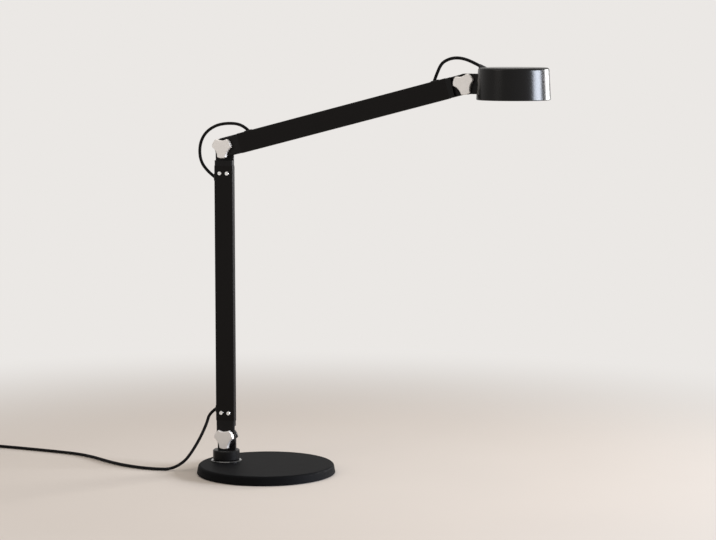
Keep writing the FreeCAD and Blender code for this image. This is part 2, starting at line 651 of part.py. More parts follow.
def make_joint(tag, place, knob_place):
    """Bolt, friction disc and rear cap of a pivot, with its hand knob and the knob's washer."""
    face = "tube_depth / 2"
    knob_back = f"-({face}) - turn_gap - washer_thick"
    knob_front = f"{knob_back} - knob_thick"
    disc = cut(
        f"{tag}_disc_solid",
        rod(f"{tag}_disc_round", "disc_radius", "lap_gap / 2 - disc_thick", "lap_gap / 2",
            ("0", "0"), "y"),
        rod(f"{tag}_disc_bore", "pivot_bolt_radius", "-lap_gap", "lap_gap", ("0", "0"), "y"),
    )
    piece(f"{tag}_friction_disc", disc, place)
    bolt = fuse(
        f"{tag}_bolt_solid",
        rod(f"{tag}_bolt_shank", "pivot_bolt_radius",
            f"{knob_front} + knob_blind + turn_gap", f"{face} + 1", ("0", "0"), "y"),
        hexagon(f"{tag}_bolt_head", "pivot_head_radius", face, f"{face} + pivot_head_thick",
                ("0", "0"), "y"),
    )
    piece(f"{tag}_pivot_bolt", bolt, knob_place)

    cap = lobed_plate(f"{tag}_cap_body", "knob_radius", "knob_waist", "knob_hollow", "knob_corner",
                      "cap_thick")
    cap = bevel(f"{tag}_cap_bevel", cap, "knob_bevel",
                lambda edge: near(edge.BoundBox.YMin, size("cap_thick")))
    cap = cut(f"{tag}_cap_cut", cap, hexagon(
        f"{tag}_cap_pocket", "pivot_head_radius", "-1", "pivot_head_thick", ("0", "0"), "y"))
    piece(f"{tag}_rear_cap", cap, f"{knob_place} * placement(vector(0; {face}; 0); {NO_TURN})")

    knob = lobed_plate(f"{tag}_knob_body", "knob_radius", "knob_waist", "knob_hollow", "knob_corner",
                       "knob_thick")
    knob = bevel(f"{tag}_knob_bevel", knob, "knob_bevel", lambda edge: near(edge.BoundBox.YMax, 0.0))
    knob = cut(f"{tag}_knob_cut", knob, rod(
        f"{tag}_knob_thread", "pivot_bolt_radius + bore_play", "knob_blind", "knob_thick + 1",
        ("0", "0"), "y"))
    piece(f"{tag}_knob", knob, f"{knob_place} * placement(vector(0; {knob_front}; 0); {NO_TURN})")
    washer = cut(
        f"{tag}_washer_solid",
        rod(f"{tag}_washer_round", "washer_radius", knob_back, f"{knob_back} + washer_thick",
            ("0", "0"), "y"),
        rod(f"{tag}_washer_bore", "pivot_bolt_radius + bore_play", "-tube_depth", "0", ("0", "0"), "y"),
    )
    piece(f"{tag}_knob_washer", washer, place)


NO_TURN = "rotation(vector(0; 0; 1); 0)"


# --- head -------------------------------------------------------------------------------------

def drum_radius(height, inset="0"):
    """Radius of the drum's wall at a height above the head pivot, less an inset."""
    return f"head_radius - head_taper * ({height} + head_drop) / head_height - ({inset})"


def drum_cone(name, low, high, inset):
    """Solid that fills the drum's wall surface, drawn in by an inset."""
    return cone(name, drum_radius(low, inset), drum_radius(high, inset), low, high)


def make_head_shell():
    """Slightly tapered drum, open below, with a slot for the bracket and a hole for the gland."""
    low, high = "-head_drop", "head_height - head_drop"
    shell = turned_body("shell_turning", [
        (f"{drum_radius(low)} - shell_wall", low),
        (f"{drum_radius(low)} - head_rim_bevel", low),
        (drum_radius(low), f"{low} + head_rim_bevel"),
        (drum_radius(high), high),
        ("0", high),
        ("0", f"{high} - shell_top"),
        (f"{drum_radius(f'({high} - shell_top)')} - shell_wall", f"{high} - shell_top"),
    ])
    shell = rounded("shell_edge", shell, "head_round",
                    lambda edge: is_top_rim(edge, drum_radius(high), high))
    half = "tube_width / 2 - lap_inset + inner_fit"
    deep = "tube_depth / 2 + inner_fit"
    shell = cut(
        "shell_cut", shell,
        box("bracket_slot", ("-head_radius - 2", "0 - head_radius / 2"), (f"-({deep})", deep),
            (f"-({half})", half)),
        gland_rod("gland_hole", "gland_radius", "gland_in + 1.5", "gland_out + 2"),
        rod("shell_screw_hole_a", "screw_radius", "-head_radius - 1", "-head_radius / 2",
            (FLANGE_SCREW, "0"), "x"),
        rod("shell_screw_hole_b", "screw_radius", "-head_radius - 1", "-head_radius / 2",
            (f"-({FLANGE_SCREW})", "0"), "x"),
    )
    piece("head_shell", shell, AT_DRUM)


FLANGE_SCREW = "flange_half - screw_head_radius"


def gland_rod(name, radius, inside, outside, radius_out=None):
    """Rod or cone on the gland's slanting axis, given by its lengths inside and outside."""
    item = doc.addObject("Part::Cone", name)
    bind(item, Radius1=radius, Radius2=radius_out or f"{radius} + 0.0001",
         Height=f"{inside} + {outside}")
    item.Placement.Rotation = FreeCAD.Rotation(FreeCAD.Vector(0, -1, 0), 1)
    return bind(
        item,
        Placement__Rotation__Angle="90 - gland_slant",
        Placement__Base__x=f"({inside}) * cos(gland_slant) - gland_back",
        Placement__Base__z=f"head_height - head_drop - ({inside}) * sin(gland_slant)",
    )


def make_bracket():
    """Tongue of the head: half-lap in front of the upper arm, through the drum to a flange."""
    half = "tube_width / 2 - lap_inset"
    deep = "tube_depth / 2"
    out = "head_out"
    tongue = fuse(
        "bracket_tongue",
        rod("bracket_eye", half, f"-({deep})", "-lap_gap / 2", (f"-({out})", "0"), "y"),
        box("bracket_strip", (f"-({out})", "flange_thick + shell_wall - head_radius + 2"),
            (f"-({deep})", "-lap_gap / 2"), (f"-({half})", half)),
        box("bracket_block", (f"shoulder - {out}", "flange_thick + shell_wall - head_radius + 2"),
            (f"-({deep})", deep), (f"-({half})", half)),
    )
    tongue = bevel("bracket_bevel", tongue, "lap_bevel / 2", lambda edge: (
        is_line(edge, FreeCAD.Vector(1, 0, 0)) and near(abs(edge.CenterOfMass.z), size(half))
        and near(abs(edge.CenterOfMass.y), size(deep))))
    flange = cut(
        "bracket_flange",
        common(
            "flange_blank",
            drum_cone("flange_outer", f"-({half})", half, "shell_wall"),
            box("flange_side", ("-head_radius - 2", "-head_radius / 2"),
                ("-flange_half", "flange_half"), (f"-({half})", half)),
        ),
        drum_cone("flange_inner", f"-({half}) - 1", f"{half} + 1", "shell_wall + flange_thick"),
    )
    inside = drum_cone("bracket_trim_cone", f"-({half}) - 1", f"{half} + 1",
                       "shell_wall + flange_thick")
    tongue = cut("bracket_tongue_cut", tongue, inside)
    bracket = fuse("bracket_joined", tongue, flange)
    bracket = cut(
        "bracket_cut", bracket,
        rod("bracket_bore", "pivot_bolt_radius + bore_play", "-tube_depth", "tube_depth",
            (f"-({out})", "0"), "y"),
        rod("bracket_screw_hole_a", "screw_radius", "-head_radius - 1", "-head_radius / 2",
            (FLANGE_SCREW, "0"), "x"),
        rod("bracket_screw_hole_b", "screw_radius", "-head_radius - 1", "-head_radius / 2",
            (f"-({FLANGE_SCREW})", "0"), "x"),
    )
    piece("head_bracket", bracket, AT_DRUM)

    screws = []
    seat = drum_radius("0", "shell_wall + flange_thick")
    for tag, side in (("a", FLANGE_SCREW), ("b", f"-({FLANGE_SCREW})")):
        screws.append(fuse(
            f"bracket_screw_{tag}",
            rod(f"bracket_screw_{tag}_shank", "screw_radius", "shell_wall / 2 - head_radius + head_taper",
                f"-({seat}) + 1", (side, "0"), "x"),
            rod(f"bracket_screw_{tag}_head", "screw_head_radius",
                f"screw_head_radius / 2 - ({seat})", f"screw_head_radius - ({seat})",
                (side, "0"), "x"),
        ))
    piece("bracket_screws", group("bracket_screw_group", *screws), AT_DRUM)


def make_light():
    """Heat spreader, light board with its chips, reflector, diffuser and trim ring."""
    low = "-head_drop"
    shell_in = "shell_wall + inner_fit"
    trim_top = f"{low} + trim_depth"
    diffuser_top = f"{trim_top} + diffuser_thick"
    spreader_top = "spreader_low + spreader_thick"
    board_low = "spreader_low - board_thick"

    trim = cut(
        "trim_solid",
        drum_cone("trim_outer", low, trim_top, shell_in),
        rod("trim_inner", f"{drum_radius(low, shell_in)} - trim_width", f"{low} - 1", f"{trim_top} + 1"),
    )
    piece("trim_ring", trim, AT_DRUM)
    piece("diffuser", drum_cone("diffuser_disc", trim_top, diffuser_top, shell_in), AT_DRUM)

    wide = drum_radius(diffuser_top, shell_in)
    reflector = turned_body("reflector_turning", [
        ("board_radius", board_low),
        ("board_radius - reflector_wall", board_low),
        (f"{wide} - 2 * reflector_wall", f"{diffuser_top} + reflector_wall"),
        (f"{wide} - 2 * reflector_wall", diffuser_top),
        (wide, diffuser_top),
        (wide, f"{diffuser_top} + reflector_wall"),
        (f"{wide} - reflector_wall", f"{diffuser_top} + reflector_wall"),
    ])
    piece("reflector", reflector, AT_DRUM)

    board = rod("light_board_disc", "board_radius", board_low, "spreader_low")
    piece("light_board", board, AT_DRUM)
    chips = []
    for number in range(CHIP_COUNT):
        angle = 360 * number / CHIP_COUNT
        chips.append(box(
            f"chip_{number}",
            (f"chip_circle * cos({angle}) - chip_side / 2", f"chip_circle * cos({angle}) + chip_side / 2"),
            (f"chip_circle * sin({angle}) - chip_side / 2", f"chip_circle * sin({angle}) + chip_side / 2"),
            (f"{board_low} - chip_thick", board_low)))
    piece("light_chips", group("chip_group", *chips), AT_DRUM)

    stands = [
        rod(f"driver_stand_{tag}", "screw_radius", f"{spreader_top} - 1", f"{spreader_top} + driver_stand",
            ("0 - (driver_near + driver_far) / 2", f"{side}driver_half / 2"))
        for tag, side in (("a", ""), ("b", "-"))
    ]
    spreader = fuse(
        "spreader_solid",
        drum_cone("spreader_disc", "spreader_low", spreader_top, shell_in),
        rod("spreader_boss_rod", "spreader_boss", f"{spreader_top} - 1",
            "head_height - head_drop - shell_top"),
        *stands,
    )
    flange_side = box("spreader_notch", ("-head_radius - 2", "flange_thick + shell_wall + screw_head_radius - head_radius + 2"),
                      ("-flange_half - inner_fit", "flange_half + inner_fit"),
                      ("spreader_low - 1", f"{spreader_top} + 1"))
    piece("heat_spreader", cut("spreader_cut", spreader, flange_side), AT_DRUM)

    driver_low = f"{spreader_top} + driver_stand"
    driver_top = f"{driver_low} + board_thick"
    driver = fuse(
        "driver_solid",
        box("driver_plate", ("-driver_far", "-driver_near"), ("-driver_half", "driver_half"),
            (driver_low, driver_top)),
        box("driver_choke", ("-driver_near - 9", "-driver_near - 1"),
            ("-driver_half + 2", "-driver_half + 11"), (f"{driver_top} - 0.5", f"{driver_top} + {DRIVER_TALL}")),
        box("driver_terminal", ("-terminal_far", "-driver_near"), ("-4", "4"),
            (f"{driver_top} - 0.5", "terminal_height + cord_radius + 0.6")),
        rod("driver_capacitor", "3.2", f"{driver_top} - 0.5", f"{driver_top} + {DRIVER_TALL}",
            ("-driver_near - 5", "driver_half - 6")),
    )
    piece("driver_board", driver, AT_DRUM)


def make_gland():
    """Tapered bush where the cord enters the drum's rear top edge."""
    gland = cut(
        "gland_solid",
        gland_rod("gland_outer", "gland_radius", "gland_in", "gland_out", "gland_radius - bush_wall"),
        gland_rod("gland_bore", "cord_radius + cord_play", "gland_in + 1", "gland_out + 1"),
    )
    piece("head_gland", gland, AT_DRUM)


# --- cords ------------------------------------------------------------------------------------

def vector(x, y, z):
    return FreeCAD.Vector(x, y, z)


def softened(points):
    """Straight runs joined by tangent arcs, each as large as its two runs allow."""
    edges = []
    radii = []
    start = points[0]
    for before, corner, after in zip(points, points[1:], points[2:]):
        inward = (corner - before).normalize()
        outward = (after - corner).normalize()
        half_turn = inward.getAngle(outward) / 2
        reach = 0.45 * min((corner - before).Length, (after - corner).Length)
        radii.append(reach / math.tan(half_turn))
        first, last = corner - inward * reach, corner + outward * reach
        middle_way = (outward - inward).normalize()
        middle = corner + middle_way * (reach / math.sin(half_turn) * (1 - math.cos(half_turn))
                                        / math.cos(half_turn) * math.cos(half_turn))
        edges.append(Part.LineSegment(start, first).toShape())
        edges.append(Part.Arc(first, middle, last).toShape())
        start = last
    edges.append(Part.LineSegment(start, points[-1]).toShape())
    return Part.Wire(edges), radii


def tube_along(wire, start, heading):
    """Round cord along a path."""
    section = Part.Wire(Part.Circle(start, heading, size("cord_radius")).toShape())
    shell = wire.makePipeShell([section], True, False)
    return shell if shell.ShapeType == "Solid" else shell.Solids[0]


def cord_piece(node, points):
    """Free or held stretch of cord through hand-chosen points, in the lamp's own frame."""
    wire, radii = softened(points)
    solid = tube_along(wire, points[0], points[1] - points[0])
    expected = math.pi * size("cord_radius") ** 2 * wire.Length
    if not near(solid.Volume / expected, 1.0) and abs(solid.Volume / expected - 1.0) > 0.01:
        raise ValueError(f"{node}: the cord's volume doesn't match its length")
    print(f"{node}: length {wire.Length:.1f}, radii", " ".join(f"{radius:.0f}" for radius in radii))
    item = doc.addObject("Part::Feature", node)
    item.Shape = solid
    item.Label = node
    item.Placement = FreeCAD.Placement()
    pieces[node] = item
    return wire.Length


def arm_point(origin, rise, along, across):
    """Point given along and across an arm whose pivot is at origin (x, z)."""
    rise = math.radians(rise)
    return vector(origin[0] + along * math.cos(rise) - across * math.sin(rise), 0.0,
                  origin[1] + along * math.sin(rise) + across * math.cos(rise))


def outlet(origin, rise, along, lean):
    """Centre of a cord outlet's mouth and the way the cord leaves it; lean +1 towards the far end."""
    across = size("tube_width / 2 + bush_lip")
    slant = math.radians(size("cord_slant"))
    mouth = arm_point(origin, rise, along, across)
    tip = arm_point(origin, rise, along + lean * math.cos(slant), across + math.sin(slant))
    return mouth, (tip - mouth).normalize()


def held_cord(node, origin, rise, length):
    """Cord inside an arm, from one outlet to the other."""
    near_mouth, near_way = outlet(origin, rise, size("cord_exit"), -1)
    far_mouth, far_way = outlet(origin, rise, length - size("cord_exit"), 1)
    depth = size("(tube_width / 2 + bush_lip) / sin(cord_slant)")
    cord_piece(node, [near_mouth, near_mouth - near_way * depth, far_mouth - far_way * depth, far_mouth])


def make_cords():
    """All the cord's stretches: in the arms, round the joints, down to the table and along it."""
    post = size(POST_X)
    foot = (post, size("foot_pivot"))
    elbow = (post, size(ELBOW_Z))
    head = (size(HEAD_X), size(HEAD_Z))
    rise = size("upper_rise")
    lower, upper = size("lower_length"), size("upper_length")
    gap = size("turn_gap")
    held_cord("lower_arm_cord", foot, 90.0, lower)
    held_cord("upper_arm_cord", elbow, rise, upper)

    # Elbow loop, behind the joint: points from the elbow pivot, in X and Z.
    start, leaving = outlet(foot, 90.0, lower - size("cord_exit"), 1)
    end, arriving = outlet(elbow, rise, size("cord_exit"), -1)
    reach = size("elbow_loop_reach")
    bend = [(-0.972, -0.493), (-1.0, 0.056), (-0.789, 0.507), (-0.352, 0.803), (0.169, 0.896)]
    cord_piece("elbow_loop", [
        start + leaving * gap, start + leaving * 0.366 * reach,
        *[vector(elbow[0] + x * reach, 0.0, elbow[1] + z * reach) for x, z in bend],
        end + arriving * 0.31 * reach, end + arriving * gap,
    ])

    # Head loop, above the joint: points from the head pivot, in X and Z.
    start, leaving = outlet(elbow, rise, upper - size("cord_exit"), 1)
    slant = math.radians(size("gland_slant"))
    gland_way = vector(-math.cos(slant), 0.0, math.sin(slant))
    gland = vector(head[0] + size("head_out - gland_back"), 0.0,
                   head[1] + size("head_height - head_drop"))
    mouth = gland + gland_way * size("gland_out")
    rise_up = size("head_loop_rise")
    bend = [(-1.028, 0.706), (-0.85, 0.875), (-0.5, 1.0), (-0.1, 0.978)]
    cord_piece("head_loop", [
        start + leaving * gap, start + leaving * 0.25 * rise_up,
        *[vector(head[0] + x * rise_up, 0.0, head[1] + z * rise_up) for x, z in bend],
        mouth + gland_way * 0.3 * rise_up, mouth,
    ])
    terminal = vector(head[0] + size("head_out - terminal_far"), 0.0, head[1] + size("terminal_height"))
    level = (gland.z - terminal.z) / math.tan(slant)
    cord_piece("head_cord", [mouth, gland + vector(level, 0.0, terminal.z - gland.z), terminal])

    # Power cord: out of the lower arm, down behind the base, and along the table.
    table = size("cord_radius")
    start, leaving = outlet(foot, 90.0, size("cord_exit"), -1)
    step = size("drop_height")

    def by_step(x, y, z):
        """Point of the drop, behind the swivel axis, in shares of its height."""
        return vector(post + x * step, y * step, max(z * step, table))

    drop = [
        by_step(-0.398, -0.114, 1.0), by_step(-0.504, -0.228, 0.691),
        by_step(-0.634, -0.341, 0.415), by_step(-0.78, -0.447, 0.187),
    ]
    landing = [by_step(-1.041, -0.545, 0.0), by_step(-1.301, -0.634, 0.0), by_step(-1.593, -0.642, 0.0)]
    split = (drop[2] + drop[3]) * 0.5
    onward = (drop[3] - drop[2]).normalize()
    length = cord_piece("cord_drop_upper", [
        start + leaving * gap, start + leaving * 0.203 * step, *drop[:3], split - onward * gap / 2,
    ])
    table_split = (landing[1] + landing[2]) * 0.5
    along = (landing[2] - landing[1]).normalize()
    length += cord_piece("cord_drop_lower", [
        split + onward * gap / 2, drop[3], *landing[:2], table_split - along * gap / 2,
    ])
    far = size("coil_back")
    coil = vector(post - far, -size("coil_side"), table)
    outer = size("coil_inner + 2 * coil_pitch")
    join = coil + vector(0.0, outer, 0.0)
    sway = [
        (0.311, 0.0913), (0.375, 0.0694), (0.442, 0.0334), (0.512, -0.0103), (0.589, -0.0424),
        (0.681, -0.054), (0.779, -0.0617), (0.877, -0.0681),
    ]
    run = [landing[2], *[vector(post - x * far, -y * far, table) for x, y in sway]]
    length += cord_piece("cord_table_run", [table_split + along * gap / 2, *run, join])
    length += make_coil(coil, outer)
    print(f"power cord, whole length {length:.0f}")


def biarc(start, heading, end, arriving):
    """Two arcs that leave start along heading and reach end along arriving, without a corner."""
    span = end - start
    sum_of_ways = heading + arriving
    spread = 2.0 * (1.0 - heading.dot(arriving))
    reach = (-span.dot(sum_of_ways) + math.sqrt(span.dot(sum_of_ways) ** 2 + spread * span.dot(span))) / spread
    joint = (start + end + (heading - arriving) * reach) * 0.5
    return [arc_between(start, heading, joint, reach), arc_between(joint, None, end, reach, arriving)]


def arc_between(start, heading, end, reach, arriving=None):
    """Circular arc whose end tangents meet at one point, 'reach' from both ends."""
    meeting = start + heading * reach if heading is not None else end - arriving * reach
    middle = (start + end) * 0.5
    half_chord = (end - start).Length / 2
    toward = meeting - middle
    steep = math.atan2(toward.Length, half_chord)
    crown = middle + toward.normalize() * (half_chord * math.tan(steep / 2))
    return Part.Arc(start, crown, end).toShape()


def coil_state(turns):
    """Radius, height and turns so far of the coil: spirals in and out, climbing where it reverses."""
    inner, pitch = size("coil_inner"), size("coil_pitch")
    for layer in range(4):
        inward = layer % 2 == 0
        if turns <= 2.0:
            fraction = turns / 2.0
            radius = inner + pitch * 2 * (1 - fraction if inward else fraction)
            return radius, layer * pitch
        turns -= 2.0
        if turns <= 0.5:
            rise = (1 - math.cos(2 * math.pi * turns)) / 2
            return (inner if inward else inner + 2 * pitch), (layer + rise) * pitch
        turns -= 0.5
    raise ValueError("the coil has no such turn")


def coil_point(centre, turns):
    """Point of the coil's centre line after a number of turns from its start."""
    radius, height = coil_state(turns)
    angle = math.pi / 2 + 2 * math.pi * turns
    return centre + vector(radius * math.cos(angle), radius * math.sin(angle), height)


COIL_TURNS = 9.25
QUARTER = 0.25


def make_coil(centre, outer):
    """Unbroken coil in four layers, and its straight tail into the adapter."""
    nudge = 1e-4
    knots = [QUARTER * step for step in range(int(COIL_TURNS / QUARTER) + 1)]
    spots = [coil_point(centre, turns) for turns in knots]
    ways = []
    for turns in knots:
        low, high = max(turns - nudge, 0.0), min(turns + nudge, COIL_TURNS)
        ways.append((coil_point(centre, high) - coil_point(centre, low)).normalize())
    ways[0] = vector(-1.0, 0.0, 0.0)
    ways[-1] = vector(0.0, -1.0, 0.0)
    edges = []
    for here in range(len(knots) - 1):
        edges.extend(biarc(spots[here], ways[here], spots[here + 1], ways[here + 1]))
    tail_end = spots[-1] + ways[-1] * size("tail_length")
    edges.append(Part.LineSegment(spots[-1], tail_end).toShape())
    wire = Part.Wire(edges)
    solid = tube_along(wire, spots[0], ways[0])
    expected = math.pi * size("cord_radius") ** 2 * wire.Length
    if abs(solid.Volume / expected - 1.0) > 0.01:
        raise ValueError("cord_coil: the volume doesn't match the length")
    print(f"cord_coil: length {wire.Length:.1f}, least gap {least_gap(wire):.2f}")
    item = doc.addObject("Part::Feature", "cord_coil")
    item.Shape = solid
    item.Label = "cord_coil"
    item.Placement = FreeCAD.Placement()
    pieces["cord_coil"] = item
    make_adapter(tail_end)
    return wire.Length


def least_gap(wire):
    """Smallest space between two turns, measured on points along the centre line."""
    spacing = 1.5
    spots = wire.discretize(Distance=spacing)
    skip = int(4 * size("cord_radius") * math.pi / spacing)
    least = min(
        (spots[here] - spots[there]).Length
        for here in range(len(spots)) for there in range(here + skip, len(spots))
    )
    return least - 2 * size("cord_radius")


def make_adapter(entry):
    """Plug-in power adapter that lies beside the coil, its cord side towards it."""
    place = f"placement(vector({entry.x}; {entry.y}; {entry.z}); {NO_TURN})"
    relief = cut(
        "relief_solid",
        cone("relief_cone", "relief_radius", "cord_radius + bush_wall", "-relief_length", "0",
             along="y"),
        rod("relief_bore", "cord_radius", "-relief_length - 1", "1", along="y"),
    )
    piece("adapter_relief", relief, place)
    half_height = entry.z
    front = "-relief_length - adapter_length"
    block = box("adapter_block", ("-adapter_width / 2", "adapter_width / 2"),
                (front, "-relief_length"), (f"{-half_height}", f"{half_height}"))
    block = rounded("adapter_rounded", block, "adapter_round",
                    lambda edge: is_line(edge, FreeCAD.Vector(0, 1, 0)))
    piece("adapter_body", block, place)
    pins = [
        rod(f"adapter_pin_{tag}", "pin_radius", f"{front} - pin_length", front,
            (f"{side}pin_pitch / 2", "0"), "y")
        for tag, side in (("a", ""), ("b", "-"))
    ]
    piece("adapter_pins", group("pin_group", *pins), place)


# --- whole lamp -------------------------------------------------------------------------------

def build():
    fill_sheet()
    make_base()
    make_swivel()
    make_foot()
    for arm, length, place, end_place, toward in (
        ("lower", "lower_length", LOWER_ARM, LOWER_ARM_END, -1),
        ("upper", "upper_length", UPPER_ARM, UPPER_ARM_END, 1),
    ):
        face = ("-tube_depth", "0") if toward < 0 else ("0", "tube_depth")
        make_tube(f"{arm}_tube", length, place, face)
        make_fitting(f"{arm}_near_fitting", place)
        make_fitting(f"{arm}_far_fitting", end_place)
        make_fitting_screws(f"{arm}_fitting_screws", length, place, toward)
        make_bushes(f"{arm}_cord_bushes", length, place)
    make_joint("foot", AT_FOOT_PIVOT, AT_FOOT_PIVOT)
    make_joint("elbow", AT_ELBOW, AT_ELBOW)
    make_joint("head", AT_HEAD_PIVOT, AT_HEAD_KNOB)
    make_head_shell()
    make_bracket()
    make_light()
    make_gland()
    make_cords()
    doc.recompute()


def check_and_export():
    """Stop on any failed object or bad solid, then write each sub-part."""
    failed = [item.Name for item in doc.Objects if "Invalid" in item.State or "Error" in item.State]
    if failed:
        raise ValueError(f"failed: {', '.join(failed)}")
    os.makedirs("parts", exist_ok=True)
    for node, item in pieces.items():
        shape = item.Shape
        if shape.isNull() or not shape.isValid() or not shape.Solids:
            raise ValueError(f"{node} has no valid solid")
        shape.exportStep(f"parts/{node}.step")
    print(f"{len(pieces)} sub-parts")


build()
check_and_export()
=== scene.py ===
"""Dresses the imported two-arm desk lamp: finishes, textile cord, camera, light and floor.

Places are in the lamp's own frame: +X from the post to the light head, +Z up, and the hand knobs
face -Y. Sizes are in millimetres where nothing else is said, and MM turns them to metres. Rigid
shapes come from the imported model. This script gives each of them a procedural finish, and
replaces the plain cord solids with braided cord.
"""

import logging
import math
from dataclasses import dataclass
from enum import Enum

import bmesh
import bpy
from mathutils import Matrix, Vector

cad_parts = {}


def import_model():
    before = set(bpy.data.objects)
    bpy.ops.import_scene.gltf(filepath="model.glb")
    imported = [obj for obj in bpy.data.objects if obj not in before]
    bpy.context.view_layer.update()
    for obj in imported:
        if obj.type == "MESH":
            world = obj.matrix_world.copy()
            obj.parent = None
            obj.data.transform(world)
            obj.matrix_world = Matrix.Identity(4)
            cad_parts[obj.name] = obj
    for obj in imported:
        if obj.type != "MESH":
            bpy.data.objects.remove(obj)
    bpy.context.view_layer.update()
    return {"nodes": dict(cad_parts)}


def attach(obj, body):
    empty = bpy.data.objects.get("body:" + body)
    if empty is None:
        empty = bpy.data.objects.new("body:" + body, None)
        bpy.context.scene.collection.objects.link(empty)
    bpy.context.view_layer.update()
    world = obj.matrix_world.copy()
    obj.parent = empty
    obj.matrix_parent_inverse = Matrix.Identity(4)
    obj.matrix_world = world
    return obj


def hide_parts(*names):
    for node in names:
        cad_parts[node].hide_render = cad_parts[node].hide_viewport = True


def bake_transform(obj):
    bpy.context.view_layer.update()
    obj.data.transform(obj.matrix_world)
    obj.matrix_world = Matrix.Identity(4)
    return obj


log = logging.getLogger("desk_lamp")

MM = 0.001


def linear(code: str) -> tuple[float, float, float, float]:
    """Convert an sRGB hex colour to linear RGBA.

    Args:
        code: Colour such as "#1f1d1c".

    Returns:
        Linear red, green, blue and an alpha of 1.
    """
    parts = [int(code[at:at + 2], 16) / 255 for at in (1, 3, 5)]
    red, green, blue = (
        part / 12.92 if part <= 0.04045 else ((part + 0.055) / 1.055) ** 2.4 for part in parts
    )
    return red, green, blue, 1.0


# --- finishes -------------------------------------------------------------------------------


class Shader:
    """Node tree of a material or of the world."""

    COLOUR_FIRST, COLOUR_SECOND, COLOUR_MIXED = 6, 7, 2  # a Mix node's sockets for colours

    def __init__(self, tree: bpy.types.NodeTree) -> None:
        """Work on the given tree."""
        self.tree = tree

    def fill(self, node: bpy.types.Node, inputs: dict[str | int, object]) -> None:
        """Set or link a node's inputs.

        Args:
            node: The node.
            inputs: For each input's name or number, its value or the output that feeds it.
        """
        for key, value in inputs.items():
            if isinstance(value, bpy.types.NodeSocket):
                self.tree.links.new(value, node.inputs[key])
            else:
                node.inputs[key].default_value = value

    def node(
        self, kind: str, inputs: dict[str | int, object] | None = None, **settings: object,
    ) -> bpy.types.Node:
        """Add a node with its settings and links.

        Args:
            kind: Blender's node type without its "ShaderNode".
            inputs: Values and links, as fill takes them.
            **settings: The node's own options, such as operation.

        Returns:
            The new node.
        """
        made = self.tree.nodes.new(f"ShaderNode{kind}")
        for key, value in settings.items():
            setattr(made, key, value)
        self.fill(made, inputs or {})
        return made


class Pattern(Enum):
    """Kind of fine relief that a finish shows."""

    GRAIN = "even grain, such as powder coat or blasting"
    PEEL = "soft unevenness of sprayed paint"
    BRUSHED = "streaks along one axis"
    FELT = "tangled fibres"
    BRAID = "crossing threads of a braided sleeve"
    SMOOTH = "moulded or polished, with only faint unevenness"


@dataclass(frozen=True)
class Layer:
    """One layer of unevenness on a piece's own coordinates.

    Attributes:
        pace: How fast it changes along X, Y and Z; under 1 it is drawn out along that axis.
        detail: How many finer octaves it holds.
        fineness: Strength of each octave beside the one before.
    """

    pace: tuple[float, float, float] = (1.0, 1.0, 1.0)
    detail: float = 4.0
    fineness: float = 0.55

    def draw(self, shader: Shader, size: float) -> bpy.types.NodeSocket:
        """Draw the layer.

        Args:
            shader: Tree that it is made in.
            size: Size of its features in millimetres.

        Returns:
            Output from 0 to 1.
        """
        where = shader.node("TexCoord").outputs["Object"]
        place = shader.node("Mapping", {"Vector": where, "Scale": Vector(self.pace) / MM})
        return shader.node("TexNoise", {
            "Vector": place.outputs["Vector"], "Scale": 1 / size, "Detail": self.detail,
            "Roughness": self.fineness,
        }).outputs["Fac"]


CLOUD = Layer(detail=2.0)
RELIEF: dict[Pattern, tuple[Layer, ...]] = {
    Pattern.GRAIN: (Layer(),),
    Pattern.PEEL: (Layer(),),
    Pattern.BRUSHED: (Layer((1.0, 1.0, 0.06), detail=3.0),),
    Pattern.FELT: (Layer((1.0, 0.25, 1.0)), Layer((0.25, 1.0, 1.0))),
    Pattern.SMOOTH: (Layer(detail=2.0),),
}


@dataclass(frozen=True)
class Finish:
    """One real material and how its surface is made.

    Attributes:
        name: Material name, after the real material and its process.
        colour: Main sRGB colour.
        second: sRGB colour of its small variations.
        metallic: 1 for bare metal, 0 otherwise.
        roughness: Lowest and highest roughness over the surface.
        pattern: Kind of relief.
        grain: Size of the relief in millimetres.
        relief: Height of the relief in millimetres.
        gloss: Strength of the reflections of a surface that isn't metal; 0.5 is ordinary.
        coat: Weight of a clear glossy layer.
        sheen: Weight of the soft light at the edges of cloth.
        see_through: Share of light that passes through.
    """

    name: str
    colour: str
    second: str
    metallic: float = 0.0
    roughness: tuple[float, float] = (0.4, 0.5)
    pattern: Pattern = Pattern.GRAIN
    grain: float = 0.5
    relief: float = 0.02
    gloss: float = 0.5
    coat: float = 0.0
    sheen: float = 0.0
    see_through: float = 0.0


# Textured enamel on cast iron: a flat black that stays dark also at a flat angle.
ENAMEL_TEXTURED = Finish(
    "cast_iron_textured_black_enamel", "#0b0b0c", "#111112", roughness=(0.54, 0.62),
    pattern=Pattern.GRAIN, grain=0.55, relief=0.010, gloss=0.03,
)
# Sprayed enamel on drawn aluminium tube: a faintly warm black with weak, soft reflections.
ENAMEL_MATTE = Finish(
    "aluminium_tube_matte_black_enamel", "#110f0e", "#171514", roughness=(0.28, 0.34),
    pattern=Pattern.PEEL, grain=1.4, relief=0.006, gloss=0.09,
)
# Satin enamel on the spun aluminium drum: it mirrors the side lamps as soft upright bands.
ENAMEL_SATIN = Finish(
    "aluminium_drum_satin_black_enamel", "#0d0c0c", "#121110", roughness=(0.22, 0.28),
    pattern=Pattern.PEEL, grain=1.8, relief=0.004, gloss=0.17,
)
# Enamel on zinc castings: black with a broader, less even shine than the tubes.
ENAMEL_CAST = Finish(
    "zinc_casting_black_enamel", "#100f0f", "#171616", roughness=(0.30, 0.42),
    pattern=Pattern.PEEL, grain=0.9, relief=0.010, gloss=0.12,
)
